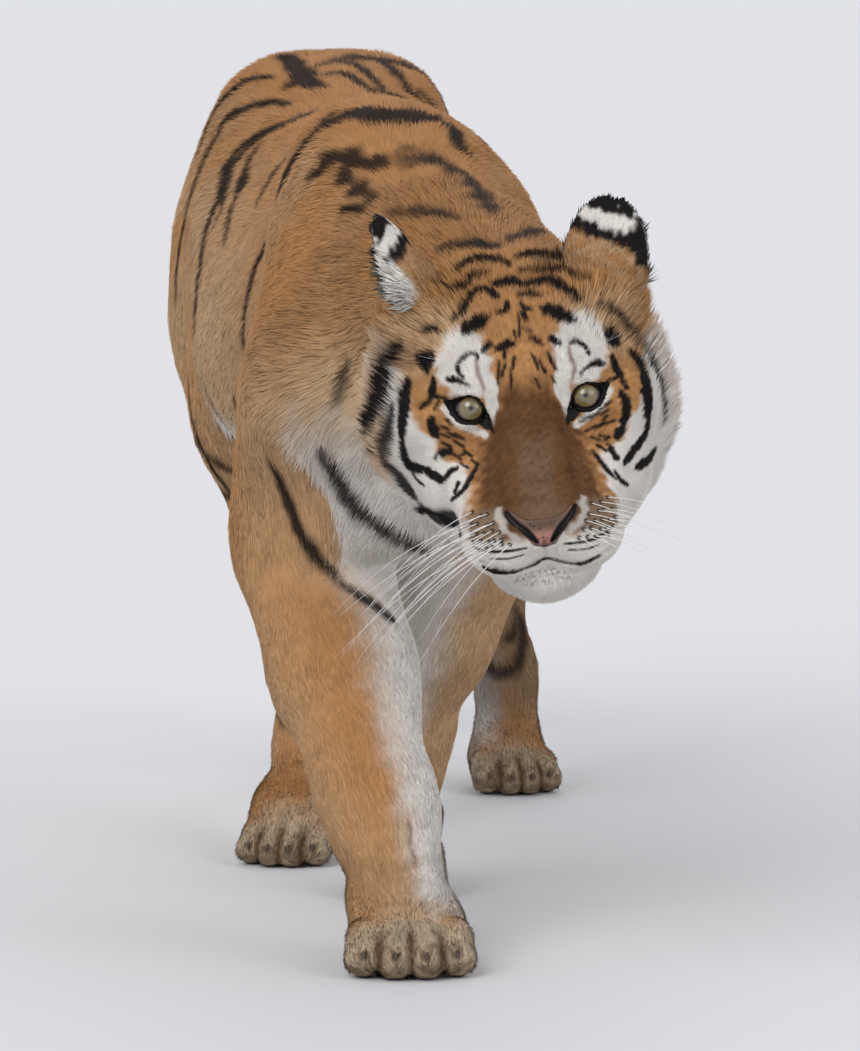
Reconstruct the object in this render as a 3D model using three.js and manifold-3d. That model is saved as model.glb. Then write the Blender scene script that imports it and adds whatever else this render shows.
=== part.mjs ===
// A walking Amur tiger, life size, as a still model. Millimetres, +Z up, the head towards -Y, the
// animal's left at +X. The flesh is a set of rounded forms blended into one field. Each named part is that
// field's surface inside its own region, with a thin gap between regions. The solids reach the coat's tips.
import * as THREE from "three";
import Module from "manifold-3d";

const wasm = await Module();
wasm.setup();

// ---- Driving dimensions ----
const GAP = 0.4; // between neighbouring parts
const BLEND = 55; // how far body forms melt into each other
const LIMB_BLEND = 34;
const FACE_BLEND = 30;
const PAW_BLEND = 9;
const EYE_RADIUS = 19.5;
const EYE_SPACING = 124; // between the eyes' centres
const HEAD_PITCH = -23; // degrees, nose down
const HEAD_YAW = -4.6; // degrees, towards the animal's right
const HEAD_ROLL = 6.3; // degrees, left side up

const SIDES = { left: 1, right: -1 };
const v3 = (x, y, z) => new THREE.Vector3(x, y, z);
const clamp = (x, low, high) => Math.min(high, Math.max(low, x));
const radians = THREE.MathUtils.degToRad;

// ---- Fields: negative inside, about the distance in mm outside ----
function ellipsoid(centre, radii, tilt = [0, 0, 0]) {
  const turn = new THREE.Quaternion()
    .setFromEuler(new THREE.Euler(...tilt.map(radians)))
    .invert();
  const q = new THREE.Vector3();
  return (p) => {
    q.copy(p).sub(centre).applyQuaternion(turn);
    const a = Math.hypot(q.x / radii[0], q.y / radii[1], q.z / radii[2]);
    const b = Math.hypot(
      q.x / radii[0] ** 2,
      q.y / radii[1] ** 2,
      q.z / radii[2] ** 2,
    );
    return b > 1e-9 ? (a * (a - 1)) / b : -Math.min(...radii);
  };
}

// A cone with a ball at each end, from a to b.
function roundCone(a, b, radiusA, radiusB) {
  const axis = b.clone().sub(a);
  const length = axis.length();
  axis.normalize();
  const slope = (radiusA - radiusB) / length;
  const lean = Math.sqrt(1 - slope * slope);
  const q = new THREE.Vector3();
  return (p) => {
    q.copy(p).sub(a);
    const along = q.dot(axis);
    const across = Math.sqrt(Math.max(0, q.lengthSq() - along * along));
    const k = along * lean - across * slope; // along the cone's slant
    if (k < 0) return q.length() - radiusA;
    if (k > length * lean) return p.distanceTo(b) - radiusB;
    return across * lean + along * slope - radiusA;
  };
}

function smoothUnion(forms, blend) {
  return (p) => {
    let d = Infinity;
    for (const form of forms) {
      const e = form(p);
      if (e > d + blend) continue;
      if (d > e + blend) {
        d = e;
        continue;
      }
      const h = Math.max(blend - Math.abs(d - e), 0) / blend;
      d = Math.min(d, e) - (h * h * blend) / 4;
    }
    return d;
  };
}

// A barrel along Y whose outline is set at stations: [y, x, top, bottom, half width]. The width is
// greatest a little below the middle, as a rib cage's is.
function barrel(stations) {
  const rounded = (t) => t * t * (3 - 2 * t);
  return (p) => {
    const last = stations.length - 1;
    const y = clamp(p.y, stations[0][0], stations[last][0]);
    let i = 0;
    while (i < last - 1 && y > stations[i + 1][0]) i++;
    const [a, b] = [stations[i], stations[i + 1]];
    const t = rounded((y - a[0]) / (b[0] - a[0]));
    const [x, top, bottom, width] = [1, 2, 3, 4].map(
      (k) => a[k] + (b[k] - a[k]) * t,
    );
    const middle = (top + bottom) / 2;
    const height = (top - bottom) / 2;
    const rise = (p.z - middle) / height;
    const wide = width * (1 - 0.14 * clamp(rise, -1, 1));
    const rho = Math.hypot((p.x - x) / wide, rise, (p.y - y) / 60);
    return (rho - 1) * Math.min(width, height);
  };
}

// ---- The field's surface as a closed mesh ----
// A body-centred lattice of tetrahedra is cut by the surface. Lattice points close to it are moved onto
// it first, which keeps the triangles nearly even.
function surfaceOf(field, low, high, cell) {
  const SNAP = 0.3;
  const n = ["x", "y", "z"].map((k) => Math.ceil((high[k] - low[k]) / cell) + 2);
  const corners = (n[0] + 1) * (n[1] + 1) * (n[2] + 1);
  const cornerId = (i, j, k) => (i * (n[1] + 1) + j) * (n[2] + 1) + k;
  const centreId = (i, j, k) => corners + (i * n[1] + j) * n[2] + k;
  const total = corners + n[0] * n[1] * n[2];
  const points = new Array(total);
  const value = new Float64Array(total);
  const place = (id, i, j, k, edge) => {
    const p = v3(i, j, k).multiplyScalar(cell).add(low);
    points[id] = p.subScalar(cell);
    const d = field(p);
    value[id] = edge ? Math.max(d, cell / 4) : d;
    if (value[id] === 0) value[id] = 1e-6;
  };
  const eachPoint = (size, id, shift) => {
    for (let i = 0; i < size[0]; i++)
      for (let j = 0; j < size[1]; j++)
        for (let k = 0; k < size[2]; k++) {
          const edge = [i, j, k].some((m, axis) => m === 0 || m === size[axis] - 1);
          place(id(i, j, k), i + shift, j + shift, k + shift, edge);
        }
  };
  eachPoint(n.map((m) => m + 1), cornerId, 0);
  eachPoint(n, centreId, 0.5);

  // The tetrahedra: two neighbouring cell centres and one edge of the face between them.
  const tetrahedra = [];
  const facing = {
    x: (i, j, k) => [[i, j, k], [i, j + 1, k], [i, j + 1, k + 1], [i, j, k + 1]],
    y: (i, j, k) => [[i, j, k], [i, j, k + 1], [i + 1, j, k + 1], [i + 1, j, k]],
    z: (i, j, k) => [[i, j, k], [i + 1, j, k], [i + 1, j + 1, k], [i, j + 1, k]],
  };
  for (let i = 0; i < n[0]; i++)
    for (let j = 0; j < n[1]; j++)
      for (let k = 0; k < n[2]; k++) {
        const here = centreId(i, j, k);
        const behind = {
          x: i > 0 ? centreId(i - 1, j, k) : -1,
          y: j > 0 ? centreId(i, j - 1, k) : -1,
          z: k > 0 ? centreId(i, j, k - 1) : -1,
        };
        for (const axis of ["x", "y", "z"]) {
          if (behind[axis] < 0) continue;
          const ring = facing[axis](i, j, k).map((c) => cornerId(...c));
          for (let m = 0; m < 4; m++)
            tetrahedra.push([behind[axis], here, ring[m], ring[(m + 1) % 4]]);
        }
      }
  const crossed = tetrahedra.filter((t) => {
    const inside = t.filter((id) => value[id] < 0).length;
    return inside > 0 && inside < 4;
  });

  // Snapping, point by point.
  const neighbours = new Map();
  for (const t of crossed)
    for (const a of t)
      for (const b of t) {
        if (a === b) continue;
        if (!neighbours.has(a)) neighbours.set(a, new Set());
        neighbours.get(a).add(b);
      }
  const original = points.slice();
  for (const [a, others] of [...neighbours].sort((s, t) => s[0] - t[0])) {
    let nearest = SNAP;
    let target = -1;
    for (const b of others) {
      if (value[a] * value[b] >= 0) continue;
      const t = value[a] / (value[a] - value[b]);
      if (t < nearest) [nearest, target] = [t, b];
    }
    if (target < 0) continue;
    points[a] = original[a].clone().lerp(original[target], nearest);
    value[a] = 0;
  }
  const near = tetrahedra.filter((t) => t.some((id) => neighbours.has(id)));

  // Triangles.
  const vertices = [];
  const ids = new Map();
  const vertexAt = (key, p) => {
    if (!ids.has(key)) {
      ids.set(key, vertices.length);
      vertices.push(p);
    }
    return ids.get(key);
  };
  const onPoint = (a) => vertexAt(`${a}`, points[a].clone());
  const onEdge = (a, b) => {
    const [s, t] = a < b ? [a, b] : [b, a];
    const share = value[s] / (value[s] - value[t]);
    return vertexAt(`${s} ${t}`, points[s].clone().lerp(points[t], share));
  };
  const triangles = new Map();
  const add = (a, b, c, inside) => {
    const normal = vertices[b].clone().sub(vertices[a]);
    normal.cross(vertices[c].clone().sub(vertices[a]));
    const outward = normal.dot(inside.clone().sub(vertices[a])) < 0;
    const key = [a, b, c].sort((s, t) => s - t).join(" ");
    if (triangles.has(key)) triangles.delete(key);
    else triangles.set(key, outward ? [a, b, c] : [a, c, b]);
  };
  for (const t of near) {
    const inner = t.filter((id) => value[id] < 0);
    const outer = t.filter((id) => value[id] > 0);
    const flat = t.filter((id) => value[id] === 0).map(onPoint);
    if (!inner.length) continue;
    const inside = points[inner[0]];
    if (!outer.length) {
      if (flat.length === 3) add(...flat, inside);
      continue;
    }
    if (inner.length === 2 && outer.length === 2) {
      const [a, b] = inner;
      const [c, d] = outer;
      const ring = [onEdge(a, c), onEdge(a, d), onEdge(b, d), onEdge(b, c)];
      add(ring[0], ring[1], ring[2], inside);
      add(ring[0], ring[2], ring[3], inside);
      continue;
    }
    const cuts = inner.flatMap((a) => outer.map((b) => onEdge(a, b)));
    add(...flat, ...cuts, inside);
  }

  // Each vertex is brought onto the true surface along the field's gradient.
  const h = 0.5;
  const slope = new THREE.Vector3();
  for (const p of vertices)
    for (let pass = 0; pass < 3; pass++) {
      const d = field(p);
      for (const k of ["x", "y", "z"]) {
        const q = p.clone();
        q[k] += h;
        slope[k] = (field(q) - d) / h;
      }
      p.addScaledVector(slope, clamp(-d, -cell / 6, cell / 6) / Math.max(slope.lengthSq(), 0.3));
    }
  const positions = new Float32Array(vertices.flatMap((p) => p.toArray()));
  return solidOf(positions, new Uint32Array([...triangles.values()].flat()));
}

// ---- Solids ----
function solidOf(vertProperties, triVerts) {
  return new wasm.Manifold(new wasm.Mesh({ numProp: 3, vertProperties, triVerts }));
}

function box(low, high) {
  const size = high.clone().sub(low);
  const made = new THREE.BoxGeometry(size.x, size.y, size.z).toNonIndexed();
  made.translate(...low.clone().add(high).multiplyScalar(0.5).toArray());
  return weld(made.attributes.position.array);
}

// Joins the equal corners of a list of triangles.
function weld(corners) {
  const found = new Map();
  const positions = [];
  const triangles = [];
  for (let i = 0; i < corners.length; i += 3) {
    const p = [corners[i], corners[i + 1], corners[i + 2]];
    const key = p.map((x) => Math.round(x * 1e3)).join(" ");
    if (!found.has(key)) {
      found.set(key, positions.length / 3);
      positions.push(...p);
    }
    triangles.push(found.get(key));
  }
  return solidOf(new Float32Array(positions), new Uint32Array(triangles));
}

// A faceted ellipsoid, turned and placed.
function ball(centre, radii, across, up, turn = new THREE.Quaternion()) {
  const made = new THREE.SphereGeometry(1, across, up).toNonIndexed();
  made.scale(...radii);
  made.applyQuaternion(turn);
  made.translate(...centre.toArray());
  return weld(made.attributes.position.array);
}

// A closed skin over rings of points, all of one length. Fans close its ends: the first at the ring's
// middle, the last at the given point, or at the last ring's middle.
function loft(rings, end = middleOf(rings.at(-1))) {
  const size = rings[0].length;
  const positions = [...rings.flat(), middleOf(rings[0]), end].flatMap((p) => p.toArray());
  const start = rings.length * size;
  const triangles = [];
  for (let i = 0; i < size; i++) {
    const next = (i + 1) % size;
    for (let j = 0; j + 1 < rings.length; j++) {
      const [a, b] = [j * size + i, j * size + next];
      triangles.push(a, b, b + size, a, b + size, a + size);
    }
    triangles.push(start, next, i, start + 1, start - size + i, start - size + next);
  }
  return solidOf(new Float32Array(positions), new Uint32Array(triangles));
}

function middleOf(ring) {
  return ring.reduce((a, p) => a.add(p), v3(0, 0, 0)).divideScalar(ring.length);
}

const FAR = 3000;
// Half of space, beyond a plane through point, on the side that normal points to.
function halfSpace(point, normal) {
  const turn = new THREE.Quaternion().setFromUnitVectors(v3(0, 0, 1), normal.clone().normalize());
  const made = new THREE.BoxGeometry(2 * FAR, 2 * FAR, FAR).toNonIndexed();
  made.translate(0, 0, FAR / 2);
  made.applyQuaternion(turn);
  made.translate(point.x, point.y, point.z);
  return weld(made.attributes.position.array);
}

// ---- Trunk ----
// [y, x, top, bottom, half width]
const TRUNK = [
  [-640, 42, 786, 560, 96],
  [-560, 24, 860, 505, 128],
  [-440, 10, 908, 470, 146],
  [-280, 8, 896, 450, 166],
  [-100, 8, 878, 440, 186],
  [90, 4, 884, 455, 192],
  [260, 2, 912, 505, 184],
  [420, 2, 942, 580, 166],
  [540, 0, 930, 640, 138],
  [640, -6, 872, 715, 80],
];
const trunkForms = [
  barrel(TRUNK),
  ellipsoid(v3(14, -590, 520), [92, 84, 104]), // brisket
];
for (const side of Object.values(SIDES)) {
  trunkForms.push(ellipsoid(v3(side * 50 - 10, -410, 856 - side * 8), [54, 112, 74], [14, 0, 0])); // shoulder blade
  trunkForms.push(ellipsoid(v3(side * 64 + 3, 425, 872), [72, 126, 68])); // hip
}
const trunkField = smoothUnion(trunkForms, BLEND);

// ---- Head ----
// Its own frame has the origin midway between the eyes' centres, with the nose towards -Y and the skull level.
const HEAD_PLACE = v3(96, -962, 650);
const headTurn = new THREE.Quaternion()
  .setFromAxisAngle(v3(0, 0, 1), radians(HEAD_YAW))
  .multiply(new THREE.Quaternion().setFromAxisAngle(v3(0, 1, 0), radians(-HEAD_ROLL)))
  .multiply(new THREE.Quaternion().setFromAxisAngle(v3(1, 0, 0), radians(-HEAD_PITCH)));
const fromHead = (x, y, z) => v3(x, y, z).applyQuaternion(headTurn).add(HEAD_PLACE);
const headBack = headTurn.clone().invert();

function headForms() {
  const forms = [
    ellipsoid(v3(0, 98, 0), [120, 110, 94]), // cranium
    ellipsoid(v3(0, 36, 10), [80, 64, 44], [-28, 0, 0]), // forehead
    roundCone(v3(0, -2, -28), v3(0, -116, -68), 48, 41), // bridge
    ellipsoid(v3(0, -138, -76), [43, 27, 30]), // tip of the muzzle
    ellipsoid(v3(0, -96, -150), [54, 60, 38]), // chin
  ];
  for (const side of Object.values(SIDES)) {
    forms.push(
      ellipsoid(v3(side * 42, -112, -106), [50, 55, 44], [0, 0, side * -14]), // whisker pad
      roundCone(v3(side * 84, 28, -48), v3(side * 46, -84, -88), 50, 42), // cheek to muzzle
      roundCone(v3(side * 26, -82, -144), v3(side * 84, 62, -122), 40, 60), // jaw
      ellipsoid(v3(side * 86, 14, -92), [46, 62, 50]), // jowl
      ellipsoid(v3(side * 92, 30, -24), [52, 60, 46]), // cheekbone
      ellipsoid(v3(side * 66, 14, 24), [34, 28, 18]), // brow
      ellipsoid(v3(side * 96 - 4, 82, -70), [68, 70, 82]), // cheek
      ellipsoid(v3(side * 115 - 7, 104, -56), [62, 50, 108], [0, side * -3, side * 20]), // ruff
      ellipsoid(v3(side * 94, 118, 62), [42, 38, 40]), // ear's root
    );
  }
  return forms;
}

const headShape = smoothUnion(headForms(), FACE_BLEND);
const headField = (p) => headShape(p.clone().sub(HEAD_PLACE).applyQuaternion(headBack));

// ---- Neck ----
const neckForms = [
  roundCone(fromHead(0, 130, -12), v3(18, -540, 740), 126, 144),
  roundCone(fromHead(0, 122, -100), v3(26, -570, 630), 92, 118), // throat
];
const neckField = smoothUnion(neckForms, BLEND);

// ---- Legs ----
// Each leg is a chain of joints with the flesh's radius there. The paw's heading is in degrees from
// straight ahead, its rise is the height of the heel above a flat-footed one. A rounded region parts the
// upper leg from the trunk.
const FORE_CELLS = { upper: 90, lower: 66, paw: 32 }; // sizes of the surfaces' facets
const HIND_CELLS = { upper: 90, lower: 48, paw: 35 };
const FORE = { toe: 27, spread: 34, reach: 66, palm: [64, 62, 46], rise: 0 };
const HIND = { toe: 24, spread: 25, reach: 56, palm: [50, 56, 46], rise: 0 };
const ROLLING = { toe: 23, spread: 26, reach: 50, palm: [45, 46, 40], rise: 26 };
const ELBOW = 434; // height of the cuts between the trunk and the forearms
const LEGS = {
  front_right: {
    chain: [
      [v3(-62, -420, 790), 74],
      [v3(-92, -585, 625), 88],
      [v3(-101, -456, 452), 79],
      [v3(-66, -580, 300), 74],
      [v3(-40, -676, 175), 64],
      [v3(-20, -735, 80), 52],
    ],
    muscle: [v3(-104, -470, 560), [70, 110, 120]],
    paw: { ...FORE, at: v3(-13, -752, 0), heading: -4 },
    thumb: v3(38, -728, 66),
    cuts: [ELBOW, 128],
    cells: FORE_CELLS,
    region: [v3(-160, -505, 515), [122, 150, 190]],
  },
  front_left: {
    chain: [
      [v3(96, -400, 790), 74],
      [v3(118, -560, 625), 86],
      [v3(90, -404, 452), 73],
      [v3(50, -352, 310), 62],
      [v3(26, -290, 175), 50],
      [v3(18, -236, 92), 44],
    ],
    muscle: [v3(110, -440, 560), [66, 110, 120]],
    paw: { ...ROLLING, at: v3(18, -236, 0), heading: 0 },
    thumb: v3(-32, -252, 82),
    cuts: [ELBOW, 128],
    cells: FORE_CELLS,
    region: [v3(154, -460, 515), [118, 150, 190]],
  },
  hind_right: {
    chain: [
      [v3(-68, 430, 735), 106],
      [v3(-92, 300, 610), 96],
      [v3(-88, 160, 495), 76],
      [v3(-62, 236, 350), 53],
      [v3(-40, 290, 256), 40],
      [v3(-54, 150, 130), 38],
      [v3(-74, 52, 62), 40],
    ],
    muscle: [v3(-94, 390, 640), [80, 140, 136]],
    paw: { ...HIND, at: v3(-84, 20, 0), heading: -15 },
    cuts: [410, 120],
    cells: HIND_CELLS,
    region: [v3(-151, 270, 530), [150, 236, 234]],
  },
  hind_left: {
    chain: [
      [v3(66, 445, 735), 106],
      [v3(110, 440, 610), 98],
      [v3(146, 425, 490), 76],
      [v3(192, 570, 350), 53],
      [v3(222, 650, 264), 40],
      [v3(236, 612, 140), 38],
      [v3(236, 584, 62), 40],
    ],
    muscle: [v3(86, 474, 640), [82, 130, 140]],
    paw: { ...HIND, at: v3(236, 565, 0), heading: 5 },
    cuts: [400, 120],
    cells: HIND_CELLS,
    region: [v3(160, 450, 535), [158, 230, 238]],
  },
};

function pawForms({ toe, spread, reach, palm, rise, at, heading }) {
  const turn = radians(heading);
  const place = (x, y, z) => v3(x, y, z).applyAxisAngle(v3(0, 0, 1), turn).add(at);
  const forms = [ellipsoid(place(0, 4, 36 + rise), palm, [0, 0, heading])];
  for (let i = 0; i < 4; i++) {
    const across = (i - 1.5) * spread;
    const ahead = reach + (i === 1 || i === 2 ? 18 : 0);
    const knuckle = place(across * 0.75, -20, 40 + rise);
    forms.push(roundCone(knuckle, place(across, -ahead, toe - 6), toe + 2, toe));
  }
  return forms;
}

for (const leg of Object.values(LEGS)) {
  const limbs = [];
  for (let i = 0; i + 1 < leg.chain.length; i++) {
    const [[a, ra], [b, rb]] = [leg.chain[i], leg.chain[i + 1]];
    limbs.push(roundCone(a, b, ra, rb));
  }
  const shank = smoothUnion(limbs.slice(2), LIMB_BLEND);
  const paw = smoothUnion(pawForms(leg.paw), PAW_BLEND);
  if (leg.thumb) limbs.push(roundCone(leg.chain.at(-1)[0], leg.thumb, 34, 24));
  leg.haunch = smoothUnion([...limbs.slice(0, 3), ellipsoid(...leg.muscle)], BLEND);
  leg.field = smoothUnion([smoothUnion([leg.haunch, shank], LIMB_BLEND), paw], 22);
}

// ---- Tail ----
const TAIL = [
  [v3(-10, 600, 800), 62],
  [v3(-10, 705, 745), 50],
  [v3(-4, 800, 600), 42],
  [v3(8, 850, 430), 40],
  [v3(26, 905, 275), 40],
  [v3(44, 1010, 190), 38],
  [v3(56, 1120, 195), 33],
];
const tailLinks = [];
for (let i = 0; i + 1 < TAIL.length; i++)
  tailLinks.push(roundCone(TAIL[i][0], TAIL[i + 1][0], TAIL[i][1], TAIL[i + 1][1]));
const tailField = smoothUnion(tailLinks, LIMB_BLEND);

// ---- Whole ----
const haunches = Object.values(LEGS).map((leg) => leg.haunch);
const bodyField = smoothUnion([trunkField, neckField, tailField, ...haunches], BLEND);
const headNeckField = smoothUnion([headField, neckField], 36);
const neckBodyField = smoothUnion([bodyField, headField], 36);

// ---- Parting planes ----
const headCut = { at: fromHead(0, 160, -20), normal: v3(0, 1, 0).applyQuaternion(headTurn) };
const neckCut = { at: v3(30, -590, 700), normal: v3(-0.1, 1, 0.12).normalize() };
const TAIL_CUTS = [
  { at: v3(-10, 660, 770), normal: v3(0, 0.85, -0.5) },
  { at: v3(0, 825, 515), normal: v3(0, 0.3, -0.95) },
  { at: v3(30, 915, 262), normal: v3(0, 0.7, -0.7) },
];
const beyond = (cut, shift = 0) =>
  halfSpace(cut.at.clone().addScaledVector(cut.normal, shift), cut.normal);
const before = (cut, shift = 0) =>
  halfSpace(cut.at.clone().addScaledVector(cut.normal, -shift), cut.normal.clone().negate());

// ---- Parts ----
const coat = new THREE.MeshStandardMaterial({ color: 0xb07a48, roughness: 0.85, metalness: 0 });
const earCoat = new THREE.MeshStandardMaterial({ color: 0x2a2421, roughness: 0.85, metalness: 0 });
const amber = new THREE.MeshStandardMaterial({ color: 0x9a8f5c, roughness: 0.08, metalness: 0 });
const nosePink = new THREE.MeshStandardMaterial({ color: 0xb07a6c, roughness: 0.5, metalness: 0 });
const horn = new THREE.MeshStandardMaterial({ color: 0x3a322b, roughness: 0.4, metalness: 0 });

const tiger = new THREE.Group();
function addPart(name, solid, material) {
  const { numProp, vertProperties, triVerts } = solid.getMesh();
  const positions = new Float32Array((vertProperties.length / numProp) * 3);
  for (let i = 0; i * 3 < positions.length; i++)
    positions.set(vertProperties.subarray(i * numProp, i * numProp + 3), i * 3);
  const geometry = new THREE.BufferGeometry()
    .setAttribute("position", new THREE.BufferAttribute(positions, 3))
    .setIndex(new THREE.BufferAttribute(triVerts, 1));
  geometry.computeVertexNormals();
  const mesh = new THREE.Mesh(geometry, material);
  mesh.name = name;
  tiger.add(mesh);
}

// The largest piece of a solid, without the crumbs that a cut can leave.
function largest(solid) {
  const pieces = solid.decompose();
  return pieces.reduce((a, b) => (a.volume() > b.volume() ? a : b));
}

// What stands out of a body, clear of it by the gap.
function standingOut(solid, body) {
  let shown = solid;
  for (const [x, y, z] of [[0, 0, 0], [1, 0, 0], [-1, 0, 0], [0, -1, 0], [0, 1, 0], [0, 0, -1], [0, 0, 1]])
    shown = shown.subtract(body.translate(x * GAP, y * GAP, z * GAP));
  return largest(shown);
}

// Legs: upper, lower and paw, parted by level cuts.
const slab = (z0, z1) => box(v3(-FAR, -FAR, z0), v3(FAR, FAR, z1));
const legRoom = [];

// A drawn-in claw: its tip looks out of the toe. It bends down from its root, forwards along -Y:
// [y, z, radius].
const CLAW = [
  [0, 6, 6.5],
  [-13, 8, 5.5],
  [-24, 3, 3.8],
];
const CLAW_TIP = [-32, -8];
function claw(tip, heading, scale) {
  const place = (x, y, z) => {
    const p = v3(x, y - CLAW_TIP[0], z - CLAW_TIP[1]).multiplyScalar(scale);
    return p.applyAxisAngle(v3(0, 0, 1), radians(heading)).add(tip);
  };
  const rings = CLAW.map(([y, z, radius]) =>
    Array.from({ length: 4 }, (_, i) => {
      const turn = (-i * Math.PI) / 2;
      return place(radius * Math.sin(turn), y, z + radius * Math.cos(turn));
    }),
  );
  return loft(rings, place(0, ...CLAW_TIP));
}

function clawsOf({ paw, thumb }) {
  const { toe, spread, reach, at, heading } = paw;
  const claws = {};
  for (let i = 0; i < 4; i++) {
    const ahead = reach + (i === 1 || i === 2 ? 18 : 0) + toe + 9;
    const tip = v3((i - 1.5) * spread, -ahead, toe * 0.62);
    tip.applyAxisAngle(v3(0, 0, 1), radians(heading)).add(at);
    claws[`claw_${i + 1}`] = [tip, heading, 1];
  }
  if (thumb) claws.dewclaw = [thumb.clone().add(v3(0, -32, -14)), heading, 0.85];
  return claws;
}

for (const [name, leg] of Object.entries(LEGS)) {
  const [knee, ankle] = leg.cuts;
  const [centre, radii] = leg.region;
  const region = (grow) => ball(centre, radii.map((r) => r + grow), 16, 9);
  legRoom.push(region(GAP));
  const ys = leg.chain.map(([p]) => p.y);
  const around = (z0, z1) => [
    v3(-420, Math.min(...ys) - 190, z0 - 60),
    v3(420, Math.max(...ys) + 190, z1 + 60),
  ];
  const own = smoothUnion([leg.field, trunkField, neckField], BLEND);
  const upper = surfaceOf(own, ...around(knee, centre.z + radii[2]), leg.cells.upper)
    .intersect(region(0))
    .intersect(slab(knee + GAP / 2, FAR));
  const shin = surfaceOf(leg.field, ...around(ankle, knee), leg.cells.lower);
  const foot = surfaceOf(leg.field, ...around(-10, ankle), leg.cells.paw);
  addPart(`${name}_upper`, largest(upper), coat);
  addPart(`${name}_lower`, largest(shin.intersect(slab(ankle + GAP / 2, knee - GAP / 2))), coat);
  const paw = largest(foot.intersect(slab(0, ankle - GAP / 2)));
  addPart(`${name}_paw`, paw, coat);
  for (const [label, place] of Object.entries(clawsOf(leg)))
    addPart(`${name}_${label}`, standingOut(claw(...place), paw), horn);
}

// Trunk, neck and head.
const rooms = legRoom.reduce((a, b) => a.add(b));
addPart(
  "trunk",
  largest(
    surfaceOf(bodyField, v3(-330, -740, 340), v3(330, 760, 1010), 130)
      .intersect(beyond(neckCut, GAP / 2))
      .intersect(before(TAIL_CUTS[0], GAP / 2))
      .intersect(slab(ELBOW + GAP / 2, FAR))
      .subtract(rooms),
  ),
  coat,
);
addPart(
  "neck",
  largest(
    surfaceOf(neckBodyField, v3(-330, -980, 400), v3(360, -480, 1010), 82)
      .intersect(before(neckCut, GAP / 2))
      .intersect(beyond(headCut, GAP / 2))
      .intersect(slab(ELBOW + GAP / 2, FAR))
      .subtract(rooms),
  ),
  coat,
);

// ---- Ears ----
// A cup: its outer face bulges away from the opening, and its rim is rounded. Sizes are in its own frame:
// across, height and depth.
const EAR = { half: 51, height: 110, depth: 34, wall: 9, wrap: 1.35 };
// The opening's heading is in degrees from the nose towards the animal's left.
const EARS = {
  left: { root: [98, 112, 66], lean: [0.2, 0.1, 1], opening: 150 },
  right: { root: [-110, 108, 70], lean: [-0.26, 0.1, 1], opening: -100 },
};

function earShell({ root, lean, opening }) {
  const up = v3(...lean).normalize();
  const facing = v3(Math.sin(radians(opening)), -Math.cos(radians(opening)), 0);
  facing.addScaledVector(up, -facing.dot(up)).normalize();
  const side = up.clone().cross(facing);
  const columns = 6;
  const rows = [0, 0.3, 0.55, 0.75, 0.9, 0.99];
  const face = (inner) =>
    rows.map((v) => {
      const taper = v < 0.3 ? 0.82 + 0.6 * v : Math.sqrt(1 - ((v - 0.3) / 0.72) ** 2);
      const wall = inner ? EAR.wall : 0;
      const half = EAR.half * taper - 0.6 * wall;
      const bulge = EAR.depth * (1 - 0.55 * v) - wall;
      const rise = v * EAR.height - (v > 0.9 ? wall / 3 : 0);
      return Array.from({ length: columns }, (_, i) => {
        const turn = ((2 * i) / (columns - 1) - 1) * EAR.wrap;
        const across = (half * Math.sin(turn)) / Math.sin(EAR.wrap);
        const p = up.clone().multiplyScalar(rise).addScaledVector(side, across);
        return p.addScaledVector(facing, -bulge * Math.cos(turn));
      });
    });
  const [outer, inner] = [face(false), face(true)];
  const rings = outer.map((row, j) => [...inner[j], ...row.toReversed()]);
  const base = v3(...root);
  return loft(rings.map((ring) => ring.map((p) => fromHead(...p.add(base).toArray()))));
}

// ---- Head, eyes and nose ----
const HEAD_CELL = 36;
const headSolid = surfaceOf(headNeckField, v3(-180, -1250, 360), v3(360, -700, 940), HEAD_CELL);
let head = headSolid.intersect(before(headCut, GAP / 2));
for (const side of Object.values(SIDES)) {
  const x = (side * EYE_SPACING) / 2;
  head = head.subtract(ball(fromHead(x + side * 2, -33, 9), [30, 26, 23], 12, 7, headTurn));
}
for (const [name, ear] of Object.entries(EARS))
  addPart(`ear_${name}`, standingOut(earShell(ear), head), earCoat);
for (const [name, side] of Object.entries(SIDES)) {
  const at = fromHead((side * EYE_SPACING) / 2, 0, 0);
  const eye = (radius) => ball(at, [radius, radius, radius], 10, 7, headTurn);
  addPart(`eye_${name}`, eye(EYE_RADIUS), amber);
  head = head.subtract(eye(EYE_RADIUS + GAP));
}
// The nose pad is wider above than below.
const NOSE = { half: 41, thick: 15, height: 20 };
function nosePad(grow) {
  const made = new THREE.SphereGeometry(1, 10, 7).toNonIndexed();
  const points = made.attributes.position;
  for (let i = 0; i < points.count; i++) {
    const [x, y, z] = [points.getX(i), -points.getZ(i), points.getY(i)];
    const wide = (NOSE.half + grow) * (0.74 + 0.3 * z);
    const p = fromHead(x * wide, -163 + y * (NOSE.thick + grow), -71 + z * (NOSE.height + grow));
    points.setXYZ(i, ...p.toArray());
  }
  return weld(points.array);
}
addPart("nose", nosePad(0), nosePink);
addPart("head", largest(head.subtract(nosePad(GAP))), coat);

// Tail, in three lengths.
const tailSolid = surfaceOf(tailField, v3(-120, 520, 120), v3(110, 1200, 900), 48);
addPart(
  "tail_root",
  largest(
    surfaceOf(bodyField, v3(-200, 560, 400), v3(200, 1000, 940), 52)
      .intersect(beyond(TAIL_CUTS[0], GAP / 2))
      .intersect(before(TAIL_CUTS[1], GAP / 2)),
  ),
  coat,
);
addPart(
  "tail_middle",
  largest(
    tailSolid.intersect(beyond(TAIL_CUTS[1], GAP / 2)).intersect(before(TAIL_CUTS[2], GAP / 2)),
  ),
  coat,
);
addPart("tail_tip", largest(tailSolid.intersect(beyond(TAIL_CUTS[2], GAP / 2))), coat);

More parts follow.
